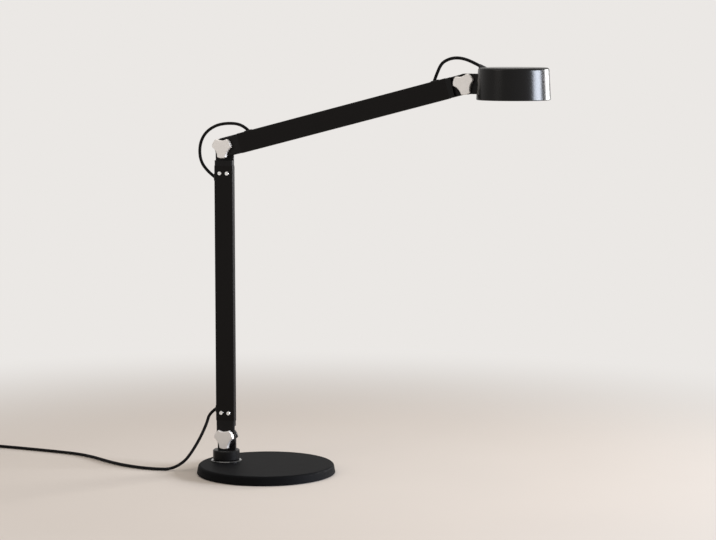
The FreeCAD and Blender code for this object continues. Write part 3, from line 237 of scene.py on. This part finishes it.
# Black lacquer on polished steel: a glossy black with sharp highlights.
LACQUER = Finish(
    "steel_polished_black_lacquer", "#101011", "#151516", roughness=(0.10, 0.18),
    pattern=Pattern.SMOOTH, grain=4.0, relief=0.004, coat=0.5,
)
# Bead-blasted aluminium: an even, pale silver without streaks. The real pits are under 0.1 mm,
# too fine to show, so they are drawn at 0.16 mm.
BLASTED = Finish(
    "aluminium_bead_blasted", "#e2dfdc", "#d3d0cd", metallic=0.9, roughness=(0.56, 0.66),
    pattern=Pattern.GRAIN, grain=0.16, relief=0.010,
)
# Bright zinc plating on steel: a pale, clean metal with faint turning streaks.
STEEL = Finish(
    "steel_bright_zinc_plated", "#efefee", "#dededd", metallic=1.0, roughness=(0.34, 0.46),
    pattern=Pattern.BRUSHED, grain=0.25, relief=0.004,
)
# Aluminium as it leaves the mould: a dull, slightly mottled grey metal.
CAST = Finish(
    "aluminium_cast_bare", "#b9babb", "#a6a7a9", metallic=1.0, roughness=(0.45, 0.6),
    pattern=Pattern.GRAIN, grain=0.6, relief=0.02,
)
# Moulded rubber: a dull black with wide, dim highlights.
RUBBER = Finish(
    "rubber_moulded_black", "#111111", "#191919", roughness=(0.6, 0.74),
    pattern=Pattern.GRAIN, grain=0.25, relief=0.010,
)
# Polymer from an eroded mould: black with an even, half-dull grain.
PLASTIC = Finish(
    "polymer_moulded_black", "#131314", "#1a1a1b", roughness=(0.42, 0.55),
    pattern=Pattern.GRAIN, grain=0.35, relief=0.012,
)
# Pressed wool: dark tangled fibres that catch light only at the edges.
FELT = Finish(
    "wool_felt_black", "#161617", "#29292a", roughness=(0.9, 1.0),
    pattern=Pattern.FELT, grain=0.5, relief=0.12, sheen=0.5,
)
# Braided polyester sleeve: near black with a faint criss-cross. Its real threads are about
# 0.3 mm, too fine to show, so the braid is drawn coarser, with 1.3 mm along the cord to a crossing.
TEXTILE = Finish(
    "textile_braid_black", "#090808", "#131212", roughness=(0.7, 0.85),
    pattern=Pattern.BRAID, grain=1.3, relief=0.07, gloss=0.12, sheen=0.02,
)
# Pressed fibre sheet: a dull brown-black, slightly hairy.
FIBRE = Finish(
    "friction_fibre_sheet", "#3b3632", "#4a443e", roughness=(0.75, 0.9),
    pattern=Pattern.FELT, grain=0.3, relief=0.03,
)
# Opal polymer: a milky white that lets light in and hides what is behind it.
OPAL = Finish(
    "opal_polymer_diffuser", "#f3f2ee", "#ecebe6", roughness=(0.48, 0.56),
    pattern=Pattern.SMOOTH, grain=3.0, relief=0.004, see_through=0.25,
)
# White moulded polymer: bright, even and half glossy.
WHITE = Finish(
    "polymer_moulded_white", "#ededed", "#e4e4e4", roughness=(0.35, 0.45),
    pattern=Pattern.SMOOTH, grain=2.0, relief=0.006,
)
# White solder mask on glass fibre: a faintly green white with a slight shine.
BOARD = Finish(
    "circuit_board_white_mask", "#e6e9e4", "#d8dcd5", roughness=(0.3, 0.42),
    pattern=Pattern.GRAIN, grain=0.5, relief=0.008,
)
# Phosphor cast in silicone: a warm yellow.
PHOSPHOR = Finish(
    "light_chip_yellow_phosphor", "#e3c14a", "#d6ae2f", roughness=(0.4, 0.5),
    pattern=Pattern.GRAIN, grain=0.2, relief=0.01,
)


class FinishMaker:
    """Makes each finish's material once and hands it out."""

    RELIEF_SHARE = 0.6  # share of the relief in the variation of colour; a cloud makes up the rest
    CLOUD_GRAINS = 24  # size of that cloud, in grains
    THREADS = 8.0  # threads of the braid on one way round the cord
    FULLNESS = 0.5  # exponent of the threads' height; under 1 they are fuller

    def __init__(self) -> None:
        """Start with no materials."""
        self._made: dict[str, bpy.types.Material] = {}

    def get(self, finish: Finish) -> bpy.types.Material:
        """Hand out a finish's material, made on first use.

        Args:
            finish: The finish.

        Returns:
            Its material.
        """
        if finish.name not in self._made:
            self._made[finish.name] = self._make(finish)
        return self._made[finish.name]

    def _make(self, finish: Finish) -> bpy.types.Material:
        """Build the material of a finish.

        Args:
            finish: The finish.

        Returns:
            Its material.
        """
        material = bpy.data.materials.new(finish.name)
        material.use_nodes = True
        shader = Shader(material.node_tree)
        relief = self._relief(shader, finish)
        cloud = CLOUD.draw(shader, finish.grain * self.CLOUD_GRAINS)
        part = shader.node("Math", {0: relief, 1: self.RELIEF_SHARE}, operation="MULTIPLY")
        share = shader.node(
            "Math", {0: cloud, 1: 1 - self.RELIEF_SHARE, 2: part.outputs[0]},
            operation="MULTIPLY_ADD",
        ).outputs[0]
        colour = shader.node("Mix", {
            0: share, shader.COLOUR_FIRST: linear(finish.colour),
            shader.COLOUR_SECOND: linear(finish.second),
        }, data_type="RGBA")
        low, high = finish.roughness
        rough = shader.node("Math", {0: share, 1: high - low, 2: low}, operation="MULTIPLY_ADD")
        bump = shader.node("Bump", {"Height": relief, "Distance": finish.relief * MM})
        shader.fill(material.node_tree.nodes["Principled BSDF"], {
            "Base Color": colour.outputs[shader.COLOUR_MIXED],
            "Roughness": rough.outputs[0],
            "Normal": bump.outputs["Normal"],
            "Metallic": finish.metallic,
            "Specular IOR Level": finish.gloss,
            "Coat Weight": finish.coat,
            "Sheen Weight": finish.sheen,
            "Transmission Weight": finish.see_through,
        })
        return material

    def _relief(self, shader: Shader, finish: Finish) -> bpy.types.NodeSocket:
        """Height of the fine relief.

        Args:
            shader: Tree that it is made in.
            finish: Finish that names its pattern and size.

        Returns:
            Output from 0 to 1.
        """
        if finish.pattern is Pattern.BRAID:
            return self._braid(shader, finish.grain)
        top, *others = (layer.draw(shader, finish.grain) for layer in RELIEF[finish.pattern])
        for other in others:
            top = shader.node("Math", {0: top, 1: other}, operation="MAXIMUM").outputs[0]
        return top

    def _braid(self, shader: Shader, pitch: float) -> bpy.types.NodeSocket:
        """Two sets of threads that cross as they wind round the cord.

        The tube's map holds the turns round the cord in U and millimetres along it in V.

        Args:
            shader: Tree that it is made in.
            pitch: Length of one crossing along the cord, in millimetres.

        Returns:
            Output from 0 between threads to 1 on them.
        """
        where = shader.node("UVMap").outputs["UV"]
        parts = shader.node("SeparateXYZ", {"Vector": where})
        round_it = shader.node(
            "Math", {0: parts.outputs["X"], 1: self.THREADS}, operation="MULTIPLY")
        along = shader.node("Math", {0: parts.outputs["Y"], 1: pitch}, operation="DIVIDE")
        waves = []
        for winding in ("ADD", "SUBTRACT"):
            way = shader.node(
                "Math", {0: round_it.outputs[0], 1: along.outputs[0]}, operation=winding)
            angle = shader.node("Math", {0: way.outputs[0], 1: math.tau}, operation="MULTIPLY")
            waves.append(shader.node("Math", {0: angle.outputs[0]}, operation="SINE").outputs[0])
        crossing = shader.node("Math", {0: waves[0], 1: waves[1]}, operation="MULTIPLY")
        threads = shader.node("Math", {0: crossing.outputs[0]}, operation="ABSOLUTE")
        height = shader.node(
            "Math", {0: threads.outputs[0], 1: self.FULLNESS}, operation="POWER")
        return height.outputs[0]


# --- sub-assemblies -------------------------------------------------------------------------


class Assembly:
    """Sub-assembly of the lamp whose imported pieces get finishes."""

    SHARP = math.radians(32)  # edges that turn more than this stay sharp

    def finishes(self) -> dict[str, Finish]:
        """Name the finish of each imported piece."""
        raise NotImplementedError

    def dress(self, nodes: dict[str, bpy.types.Object], maker: FinishMaker) -> None:
        """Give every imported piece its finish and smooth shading.

        Args:
            nodes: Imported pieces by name.
            maker: Source of the materials.
        """
        for name, finish in self.finishes().items():
            mesh = nodes[name].data
            mesh.materials.clear()
            mesh.materials.append(maker.get(finish))
            for face in mesh.polygons:
                face.use_smooth = True
            mesh.set_sharp_from_angle(angle=self.SHARP)
            log.info("%s: %s", name, finish.name)


class Base(Assembly):
    """Weighted plate with its felt, the ring round the foot and the stop pin."""

    def finishes(self) -> dict[str, Finish]:
        """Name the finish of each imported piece.

        Returns:
            Finishes by the pieces' names.
        """
        return {
            "base_plate": ENAMEL_TEXTURED, "base_pad": FELT, "swivel_ring": LACQUER,
            "stop_pin": STEEL,
        }


@dataclass(frozen=True)
class Foot(Assembly):
    """Swivelling foot on its bolt.

    Attributes:
        post: Swivel axis, along X.
        pivot_height: Height of the lowest pivot above the table.
    """

    post: float = -57.0
    pivot_height: float = 42.0

    @property
    def pivot(self) -> Vector:
        """Pivot that carries the lower arm."""
        return Vector((self.post, 0.0, self.pivot_height))

    def finishes(self) -> dict[str, Finish]:
        """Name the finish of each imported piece."""
        return {"swivel_foot": ENAMEL_CAST, "swivel_bolt": STEEL, "swivel_washer": STEEL}


@dataclass(frozen=True)
class Joint(Assembly):
    """Clamped half-lap joint: disc, bolt, rear cap, hand knob and its washer.

    Attributes:
        place: First word of its pieces' names.
    """

    place: str

    def finishes(self) -> dict[str, Finish]:
        """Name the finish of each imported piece.

        Returns:
            Finishes by the pieces' names.
        """
        return {
            f"{self.place}_friction_disc": FIBRE, f"{self.place}_pivot_bolt": STEEL,
            f"{self.place}_rear_cap": ENAMEL_CAST, f"{self.place}_knob": BLASTED,
            f"{self.place}_knob_washer": STEEL,
        }


@dataclass(frozen=True)
class Arm(Assembly):
    """Flat tubular arm with a cast fitting and a cord outlet at each end.

    Attributes:
        place: First word of its pieces' names.
        near: Pivot that it starts from.
        length: Pivot to pivot.
        rise: Angle above level, in degrees.
        outlet: Pivot to the centre of the cord outlet beside it, along the tube.
        mouth_out: Distance of an outlet's mouth from the tube's centre line.
        slant: Angle between the cord and the tube at an outlet, in degrees.
    """

    place: str
    near: Vector
    length: float
    rise: float
    outlet: float = 38.5
    mouth_out: float = 13.8
    slant: float = 55.0

    @property
    def far(self) -> Vector:
        """Pivot that it ends at."""
        rise = math.radians(self.rise)
        return self.near + Vector((math.cos(rise), 0.0, math.sin(rise))) * self.length

    def finishes(self) -> dict[str, Finish]:
        """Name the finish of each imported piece.

        Returns:
            Finishes by the pieces' names.
        """
        return {
            f"{self.place}_tube": ENAMEL_MATTE, f"{self.place}_near_fitting": ENAMEL_CAST,
            f"{self.place}_far_fitting": ENAMEL_CAST, f"{self.place}_fitting_screws": STEEL,
            f"{self.place}_cord_bushes": RUBBER, f"{self.place}_arm_cord": TEXTILE,
        }

    def mouth(self, far_end: bool) -> tuple[Vector, Vector]:
        """Centre of a cord outlet and the way that the cord leaves it.

        Args:
            far_end: Whether it is the outlet near the far pivot.

        Returns:
            The point and the unit direction.
        """
        along = self.length - self.outlet if far_end else self.outlet
        lean = 1 if far_end else -1
        turn = Matrix.Rotation(-math.radians(self.rise), 3, "Y")
        slant = math.radians(self.slant)
        point = self.near + turn @ Vector((along, 0.0, self.mouth_out))
        return point, turn @ Vector((lean * math.cos(slant), 0.0, math.sin(slant)))


@dataclass(frozen=True)
class Head(Assembly):
    """Drum with its bracket, light and cord gland.

    Attributes:
        pivot: Pivot that it tilts on.
        axis_out: Pivot to the drum's axis.
        top: Height of the drum's top above the pivot.
        gland_back: Drum's axis to the gland, at the height of the drum's top.
        gland_out: Length of the gland outside the drum.
        gland_slant: Gland's angle above level, in degrees.
    """

    pivot: Vector
    axis_out: float = 62.3
    top: float = 20.4
    gland_back: float = 40.5
    gland_out: float = 4.0
    gland_slant: float = 27.0

    def finishes(self) -> dict[str, Finish]:
        """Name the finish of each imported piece.

        Returns:
            Finishes by the pieces' names.
        """
        return {
            "head_bracket": ENAMEL_CAST, "bracket_screws": STEEL, "head_shell": ENAMEL_SATIN,
            "heat_spreader": CAST, "light_board": BOARD, "light_chips": PHOSPHOR,
            "reflector": WHITE, "diffuser": OPAL, "trim_ring": PLASTIC, "driver_board": BOARD,
            "head_gland": RUBBER, "head_cord": TEXTILE,
        }

    def gland(self) -> tuple[Vector, Vector]:
        """Mouth of the cord gland and the way out of it.

        Returns:
            The point and the unit direction.
        """
        slant = math.radians(self.gland_slant)
        way = Vector((-math.cos(slant), 0.0, math.sin(slant)))
        foot = self.pivot + Vector((self.axis_out - self.gland_back, 0.0, self.top))
        return foot + way * self.gland_out, way


# --- cord -----------------------------------------------------------------------------------


class FarEnd(Enum):
    OBJECT = "object"
    PLUG = "plug"


class Lay(Enum):
    LOOSE = "loose"
    COILED = "coiled"


@dataclass(frozen=True)
class Route:
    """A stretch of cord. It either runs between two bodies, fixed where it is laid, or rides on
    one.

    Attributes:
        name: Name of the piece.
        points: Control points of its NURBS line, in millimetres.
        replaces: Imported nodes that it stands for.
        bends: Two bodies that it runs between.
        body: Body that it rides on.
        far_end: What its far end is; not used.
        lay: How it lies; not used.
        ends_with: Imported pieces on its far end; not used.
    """

    name: str
    points: list[Vector]
    replaces: tuple[str, ...]
    bends: tuple[str, str] | None = None
    body: str | None = None
    far_end: FarEnd = FarEnd.OBJECT
    lay: Lay = Lay.LOOSE
    ends_with: tuple[str, ...] = ()

    @property
    def span(self) -> tuple[Vector, Vector]:
        """Its two ends, in metres."""
        return self.points[0] * MM, self.points[-1] * MM


class CordMaker:
    """Sweeps braided tubes along NURBS lines."""

    RADIUS = 2.0 * MM
    SIDES = 16
    ORDER = 3  # quadratic, so that each bend is as round as its runs allow
    STEPS = 6  # points read from the line for each control point
    LEAST_STEP = 0.05 * MM  # points closer than this are doubles

    def __init__(self, nodes: dict[str, bpy.types.Object], material: bpy.types.Material) -> None:
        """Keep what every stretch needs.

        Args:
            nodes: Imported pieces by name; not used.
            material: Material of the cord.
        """
        self.nodes = nodes
        self.material = material

    def lay(self, route: Route) -> None:
        """Args:
            route: The stretch.
        """
        line = self._line(route)
        made = self._tube(route.name, line)
        if route.bends:
            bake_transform(made)
        else:
            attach(made, route.body)
        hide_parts(*route.replaces)

    def _line(self, route: Route) -> list[Vector]:
        """Read points from the smooth line that a route's control points give.

        Args:
            route: The stretch.

        Returns:
            Points on the line, in metres, without doubles.
        """
        curve = bpy.data.curves.new(route.name, "CURVE")
        curve.dimensions = "3D"
        curve.resolution_u = self.STEPS
        spline = curve.splines.new("NURBS")
        spline.points.add(len(route.points) - 1)
        for at, point in zip(spline.points, route.points):
            at.co = (*(point * MM), 1.0)
        spline.order_u = self.ORDER
        spline.use_endpoint_u = True
        holder = bpy.data.objects.new(f"{route.name}_line", curve)
        bpy.context.scene.collection.objects.link(holder)
        mesh = bpy.data.meshes.new_from_object(holder)
        found = [vertex.co.copy() for vertex in mesh.vertices]
        bpy.data.objects.remove(holder)
        bpy.data.curves.remove(curve)
        bpy.data.meshes.remove(mesh)
        line = [found[0]]
        for point in found[1:]:
            if (point - line[-1]).length > self.LEAST_STEP:
                line.append(point)
        return line

    def _tube(self, name: str, line: list[Vector]) -> bpy.types.Object:
        """Sweep a closed round tube, mapped for the braid.

        Args:
            name: Name of the piece.
            line: Points of its centre line, in metres.

        Returns:
            The tube, linked to the scene.
        """
        work = bmesh.new()
        uv_layer = work.loops.layers.uv.new("cord")
        turns = [math.tau * step / self.SIDES for step in range(self.SIDES)]
        side = Vector((0, 1, 0))
        rings, lengths, run = [], [], 0.0
        for here, point in enumerate(line):
            before, after = line[max(here - 1, 0)], line[min(here + 1, len(line) - 1)]
            way = (after - before).normalized()
            side = (side - way * side.dot(way)).normalized()
            other = way.cross(side)
            if here:
                run += (point - line[here - 1]).length
            lengths.append(run / MM)
            spokes = [side * math.cos(turn) + other * math.sin(turn) for turn in turns]
            rings.append([work.verts.new(point + spoke * self.RADIUS) for spoke in spokes])
        for here, (low, high) in enumerate(zip(rings, rings[1:])):
            for step in range(self.SIDES):
                ahead = (step + 1) % self.SIDES
                face = work.faces.new((low[step], low[ahead], high[ahead], high[step]))
                face.smooth = True
                spots = (
                    (step, here), (step + 1, here), (step + 1, here + 1), (step, here + 1),
                )
                for loop, (turn, at) in zip(face.loops, spots):
                    loop[uv_layer].uv = (turn / self.SIDES, lengths[at])
        for ring in (list(reversed(rings[0])), rings[-1]):
            work.faces.new(ring)
        bmesh.ops.recalc_face_normals(work, faces=work.faces)
        mesh = bpy.data.meshes.new(name)
        work.to_mesh(mesh)
        work.free()
        mesh.materials.append(self.material)
        made = bpy.data.objects.new(name, mesh)
        bpy.context.scene.collection.objects.link(made)
        return made


@dataclass(frozen=True)
class HeadLoop:
    """Loop above the head joint, from the upper arm to the drum.

    Attributes:
        arm: Upper arm.
        head: Light head.
        leave: Straight run out of the arm's outlet.
        arrive: Straight run into the gland.
        bend: Its free points from the head's pivot, along X and Z.
    """

    arm: Arm
    head: Head
    leave: float = 8.0
    arrive: float = 9.6
    bend: tuple[tuple[float, float], ...] = (
        (-32.9, 22.6), (-27.2, 28.0), (-16.0, 32.0), (-3.2, 31.3),
    )

    def route(self) -> Route:
        """Work out its stretch of cord.

        Returns:
            The stretch.
        """
        start, leaving = self.arm.mouth(far_end=True)
        end, arriving = self.head.gland()
        points = [
            start, start + leaving * self.leave,
            *[self.head.pivot + Vector((x, 0.0, z)) for x, z in self.bend],
            end + arriving * self.arrive, end,
        ]
        return Route("head_loop_cord", points, ("head_loop",), bends=("upper_arm", "head"))


@dataclass(frozen=True)
class ElbowLoop:
    """Loop behind the elbow, from the lower arm to the upper arm.

    Attributes:
        lower: Lower arm.
        upper: Upper arm.
        leave: Straight run out of the lower arm's outlet.
        arrive: Straight run into the upper arm's outlet.
        bend: Its free points from the elbow's pivot, along X and Z.
    """

    lower: Arm
    upper: Arm
    leave: float = 13.0
    arrive: float = 11.0
    bend: tuple[tuple[float, float], ...] = (
        (-34.5, -17.5), (-35.5, 2.0), (-28.0, 18.0), (-12.5, 28.5), (6.0, 31.8),
    )

    def route(self) -> Route:
        """Work out its stretch of cord.

        Returns:
            The stretch.
        """
        start, leaving = self.lower.mouth(far_end=True)
        end, arriving = self.upper.mouth(far_end=False)
        points = [
            start, start + leaving * self.leave,
            *[self.upper.near + Vector((x, 0.0, z)) for x, z in self.bend],
            end + arriving * self.arrive, end,
        ]
        return Route(
            "elbow_loop_cord", points, ("elbow_loop",), bends=("lower_arm", "upper_arm"))


@dataclass(frozen=True)
class PowerLead(Assembly):
    """Power cord: down from the lower arm, along the table and into a coil by its adapter.

    Attributes:
        arm: Lower arm.
        post: Swivel axis, along X.
        leave: Straight run out of the arm's outlet.
        drop: Points of its fall, from the swivel axis along X, with Y and Z.
        landing: Points where it meets the table, from the swivel axis along X, with Y.
        lie: Height of its centre line on the table.
        coil_back: Swivel axis to the coil's centre.
        coil_side: The coil's centre in front of the arms' plane.
        coil_inner: Radius of the innermost turn.
        sway: Its course on the table, back and to the front, in shares of coil_back.
        pitch: Distance between turns.
        turns: Turns of the whole coil.
        layer_turns: Turns of a layer before the cord climbs to the next.
        climb_turns: Turns that the climb takes.
        step: Turn between two control points of the coil.
        tail: Straight run from the coil to the adapter.
    """

    arm: Arm
    post: float
    leave: float = 12.5
    drop: tuple[tuple[float, float, float], ...] = (
        (-24.5, -7.0, 61.5), (-31.0, -14.0, 42.5), (-39.0, -21.0, 25.5), (-48.0, -27.5, 11.5),
    )
    landing: tuple[tuple[float, float], ...] = ((-64.0, -33.5), (-80.0, -39.0), (-98.0, -39.5))
    lie: float = 2.0
    coil_back: float = 389.0
    coil_side: float = 1.0
    coil_inner: float = 17.5
    sway: tuple[tuple[float, float], ...] = (
        (0.311, 0.0913), (0.375, 0.0694), (0.442, 0.0334), (0.512, -0.0103), (0.589, -0.0424),
        (0.681, -0.054), (0.779, -0.0617), (0.877, -0.0681),
    )
    pitch: float = 5.15
    turns: float = 9.25
    layer_turns: float = 2.0
    climb_turns: float = 0.5
    step: float = 1 / 12
    tail: float = 14.0

    def finishes(self) -> dict[str, Finish]:
        """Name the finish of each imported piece."""
        return {"adapter_relief": RUBBER, "adapter_body": PLASTIC, "adapter_pins": STEEL}

    def routes(self) -> list[Route]:
        """Work out its stretches: beside the arm, down to the table, and the rest.

        Returns:
            The three stretches, in that order.
        """
        start, leaving = self.arm.mouth(far_end=False)
        drop = [Vector((self.post + x, y, z)) for x, y, z in self.drop]
        landing = [Vector((self.post + x, y, self.lie)) for x, y in self.landing]
        course = [
            Vector((self.post - back * self.coil_back, -front * self.coil_back, self.lie))
            for back, front in self.sway
        ]
        middle, touch = (drop[2] + drop[3]) / 2, (landing[1] + landing[2]) / 2
        return [
            Route(
                "power_cord_drop", [start, start + leaving * self.leave, *drop[:3], middle],
                ("cord_drop_upper",), bends=("lower_arm", "foot"),
            ),
            Route(
                "power_cord_landing", [middle, drop[3], *landing[:2], touch],
                ("cord_drop_lower",), bends=("foot", "base"),
            ),
            Route(
                "power_cord_coiled", [touch, landing[2], *course, *self._coil()],
                ("cord_table_run", "cord_coil"), body="base", far_end=FarEnd.PLUG,
                lay=Lay.COILED, ends_with=("adapter_relief", "adapter_body", "adapter_pins"),
            ),
        ]

    def _place_in_coil(self, turns: float) -> tuple[float, float]:
        """Where the coil's centre line is after a number of turns.

        The first layer winds inwards, the next outwards, and so on.

        Args:
            turns: Turns since the coil's start.

        Returns:
            Its radius, and its height above the lowest layer.
        """
        layer, within = divmod(turns, self.layer_turns + self.climb_turns)
        inwards = layer % 2 == 0
        if within <= self.layer_turns:
            share = within / self.layer_turns
            outer = self.layer_turns * (1 - share if inwards else share)
            return self.coil_inner + self.pitch * outer, layer * self.pitch
        climb = (1 - math.cos(math.pi * (within - self.layer_turns) / self.climb_turns)) / 2
        outer = 0.0 if inwards else self.layer_turns
        return self.coil_inner + self.pitch * outer, (layer + climb) * self.pitch

    def _coil(self) -> list[Vector]:
        """Control points of the coil and of its tail.

        A quadratic line runs inside its control points, so they lie further out than the turns.

        Returns:
            The points, in order.
        """
        centre = Vector((self.post - self.coil_back, -self.coil_side, self.lie))
        outward = 1 / math.cos(math.pi * self.step)
        points = []
        for count in range(round(self.turns / self.step)):
            turns = (count + 0.5) * self.step
            radius, height = self._place_in_coil(turns)
            angle = math.pi / 2 + math.tau * turns
            radius *= outward
            points.append(
                centre + Vector((radius * math.cos(angle), radius * math.sin(angle), height)))
        radius, height = self._place_in_coil(self.turns)
        leave = centre + Vector((-radius, 0.0, height))
        tail = Vector((0.0, -self.tail, 0.0))
        return [*points, leave + tail / 2, leave + tail]


# --- studio ---------------------------------------------------------------------------------


@dataclass(frozen=True)
class Shot:
    """Camera of the photograph.

    Attributes:
        place: Position in millimetres.
        turn: Turn to the left of +Y, tilt above level and roll, in degrees.
        lens: Focal length in millimetres.
        sensor: Width of the sensor in millimetres.
        sees: Nearest and furthest distance that it sees, in metres.
    """

    place: tuple[float, float, float] = (1205.9, -2686.7, 583.2)
    turn: tuple[float, float, float] = (21.842, -6.165, -0.039)
    lens: float = 115.35
    sensor: float = 36.0
    sees: tuple[float, float] = (0.05, 50.0)

    def build(self) -> None:
        """Make it the scene's camera."""
        yaw, pitch, roll = (math.radians(angle) for angle in self.turn)
        forward = Vector((
            -math.sin(yaw) * math.cos(pitch), math.cos(yaw) * math.cos(pitch), math.sin(pitch),
        ))
        level = Vector((math.cos(yaw), math.sin(yaw), 0.0))
        over = level.cross(forward)
        right = level * math.cos(roll) + over * math.sin(roll)
        up = over * math.cos(roll) - level * math.sin(roll)
        data = bpy.data.cameras.new("photograph")
        data.sensor_width, data.lens = self.sensor, self.lens
        data.clip_start, data.clip_end = self.sees
        camera = bpy.data.objects.new("photograph", data)
        camera.matrix_world = Matrix.Translation(Vector(self.place) * MM) @ Matrix(
            (right, up, -forward)).transposed().to_4x4()
        bpy.context.scene.collection.objects.link(camera)
        bpy.context.scene.camera = camera


@dataclass(frozen=True)
class Panel:
    """Rectangular lamp of the studio.

    Attributes:
        name: Name of the lamp.
        place: Position in millimetres.
        target: Point that it faces, in millimetres.
        size: Width and height in millimetres.
        power: Power in watts.
        colour: sRGB colour of its light.
        spread: Angle of its beam in degrees; a smaller one is a softbox with a grid.
    """

    name: str
    place: tuple[float, float, float]
    target: tuple[float, float, float]
    size: tuple[float, float]
    power: float
    colour: str
    spread: float = 180.0

    def build(self) -> None:
        """Add the lamp to the scene."""
        data = bpy.data.lights.new(self.name, "AREA")
        data.shape = "RECTANGLE"
        data.size, data.size_y = (side * MM for side in self.size)
        data.energy = self.power
        data.color = linear(self.colour)[:3]
        data.spread = math.radians(self.spread)
        lamp = bpy.data.objects.new(self.name, data)
        lamp.location = Vector(self.place) * MM
        toward = (Vector(self.target) - Vector(self.place)).normalized()
        lamp.rotation_euler = toward.to_track_quat("-Z", "Y").to_euler()
        bpy.context.scene.collection.objects.link(lamp)


@dataclass(frozen=True)
class Studio:
    """Pale floor, backdrop and soft light.

    Attributes:
        panels: Its lamps. The first two make the upright bands on the drum.
        backdrop: sRGB colour of the background.
        room: sRGB colour of the light from all round.
        room_light: Strength of that light.
        floor_colours: The two sRGB colours of the floor's faint clouds.
        floor_cloud: Size of those clouds in millimetres.
        floor_roughness: Roughness of the matt floor.
        floor_half: Half the floor's width in metres.
        floor_gap: Depth of the floor under the lamp in metres, so that the two don't flicker.
        fade: Where the floor starts and ends turning into the backdrop, in metres from the frame's
            origin.
    """

    panels: tuple[Panel, ...] = (
        Panel("side_window", (2300, 280, 640), (334, 0, 470), (1100, 460), 20.0, "#eaf1ff", 80.0),
        Panel("rear_window", (1420, 1760, 700), (430, 0, 520), (860, 620), 7.0, "#ffffff", 70.0),
        Panel("overhead", (-300, -200, 2300), (0, 0, 0), (1800, 1800), 15.0, "#fffaf4"),
        Panel("front_fill", (-1300, -2500, 1500), (0, 0, 300), (1200, 1200), 12.0, "#fff8f2"),
    )
    backdrop: str = "#ebe8e5"
    room: str = "#d9d5d3"
    room_light: float = 0.42
    floor_colours: tuple[str, str] = ("#d0c6bb", "#d4cabf")
    floor_cloud: float = 260.0
    floor_roughness: float = 0.75
    floor_half: float = 30.0
    floor_gap: float = 0.0002
    fade: tuple[float, float] = (0.35, 1.15)

    def build(self) -> None:
        """Set up everything round the lamp."""
        self._build_floor()
        for panel in self.panels:
            panel.build()
        self._build_world()
        bpy.context.scene.view_settings.view_transform = "Standard"

    def _build_floor(self) -> None:
        """Lay the floor and mark it as no part of the lamp."""
        work = bmesh.new()
        bmesh.ops.create_grid(work, x_segments=1, y_segments=1, size=self.floor_half)
        mesh = bpy.data.meshes.new("floor")
        work.to_mesh(mesh)
        work.free()
        floor = bpy.data.objects.new("floor", mesh)
        floor.location.z = -self.floor_gap
        mesh.materials.append(self._make_floor_material())
        bpy.context.scene.collection.objects.link(floor)

    def _make_floor_material(self) -> bpy.types.Material:
        """Matt floor that passes softly into the backdrop's colour far from the lamp.

        Returns:
            Its material.
        """
        material = bpy.data.materials.new("plain_pale_floor")
        material.use_nodes = True
        shader = Shader(material.node_tree)
        surface = material.node_tree.nodes["Principled BSDF"]
        first, second = (linear(colour) for colour in self.floor_colours)
        colour = shader.node("Mix", {
            0: CLOUD.draw(shader, self.floor_cloud), shader.COLOUR_FIRST: first,
            shader.COLOUR_SECOND: second,
        }, data_type="RGBA")
        shader.fill(surface, {
            "Base Color": colour.outputs[shader.COLOUR_MIXED],
            "Roughness": self.floor_roughness,
        })
        where = shader.node("TexCoord").outputs["Object"]
        distance = shader.node("VectorMath", {0: where}, operation="LENGTH")
        start, end = self.fade
        far = shader.node("MapRange", {
            "Value": distance.outputs["Value"], "From Min": start, "From Max": end,
        }, interpolation_type="SMOOTHSTEP")
        shown = shader.node(
            "Math", {0: far.outputs["Result"], 1: self._see_backdrop(shader)},
            operation="MULTIPLY",
        )
        glow = shader.node("Emission", {"Color": linear(self.backdrop), "Strength": 1.0})
        mixed = shader.node("MixShader", {
            0: shown.outputs[0], 1: surface.outputs["BSDF"], 2: glow.outputs["Emission"],
        })
        end_node = material.node_tree.nodes["Material Output"]
        shader.fill(end_node, {"Surface": mixed.outputs["Shader"]})
        return material

    def _build_world(self) -> None:
        """Light the lamp from all round, and show the backdrop where it is seen or mirrored."""
        world = bpy.data.worlds.new("studio")
        world.use_nodes = True
        shader = Shader(world.node_tree)
        light = world.node_tree.nodes["Background"]
        shader.fill(light, {"Color": linear(self.room), "Strength": self.room_light})
        backdrop = shader.node("Background", {"Color": linear(self.backdrop)})
        mixed = shader.node("MixShader", {
            0: self._see_backdrop(shader), 1: light.outputs["Background"],
            2: backdrop.outputs["Background"],
        })
        shader.fill(world.node_tree.nodes["World Output"], {"Surface": mixed.outputs["Shader"]})
        bpy.context.scene.world = world

    def _see_backdrop(self, shader: Shader) -> bpy.types.NodeSocket:
        """Tell the rays that show the backdrop: straight, mirrored or through clear pieces.

        Args:
            shader: Tree that it is made in.

        Returns:
            Output of 1 for such rays and 0 for others.
        """
        path = shader.node("LightPath").outputs
        total = path["Is Camera Ray"]
        for kind in ("Is Glossy Ray", "Is Transmission Ray"):
            total = shader.node("Math", {0: total, 1: path[kind]}, operation="MAXIMUM").outputs[0]
        return total


def main() -> None:
    """Dress the lamp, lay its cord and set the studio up."""
    logging.basicConfig(level=logging.INFO, format="%(name)s: %(message)s")
    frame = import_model()
    finishes = FinishMaker()

    foot = Foot()
    lower = Arm("lower", near=foot.pivot, length=380.4, rise=90.0)
    upper = Arm("upper", near=lower.far, length=340.0, rise=14.5)
    head = Head(upper.far)
    joints = [Joint(place) for place in ("foot", "elbow", "head")]
    lead = PowerLead(lower, foot.post)
    for assembly in (Base(), foot, lower, upper, head, *joints, lead):
        assembly.dress(frame["nodes"], finishes)

    maker = CordMaker(frame["nodes"], finishes.get(TEXTILE))
    for route in (HeadLoop(upper, head).route(), ElbowLoop(lower, upper).route(), *lead.routes()):
        maker.lay(route)

    Shot().build()
    Studio().build()


if __name__ == "__main__":
    main()
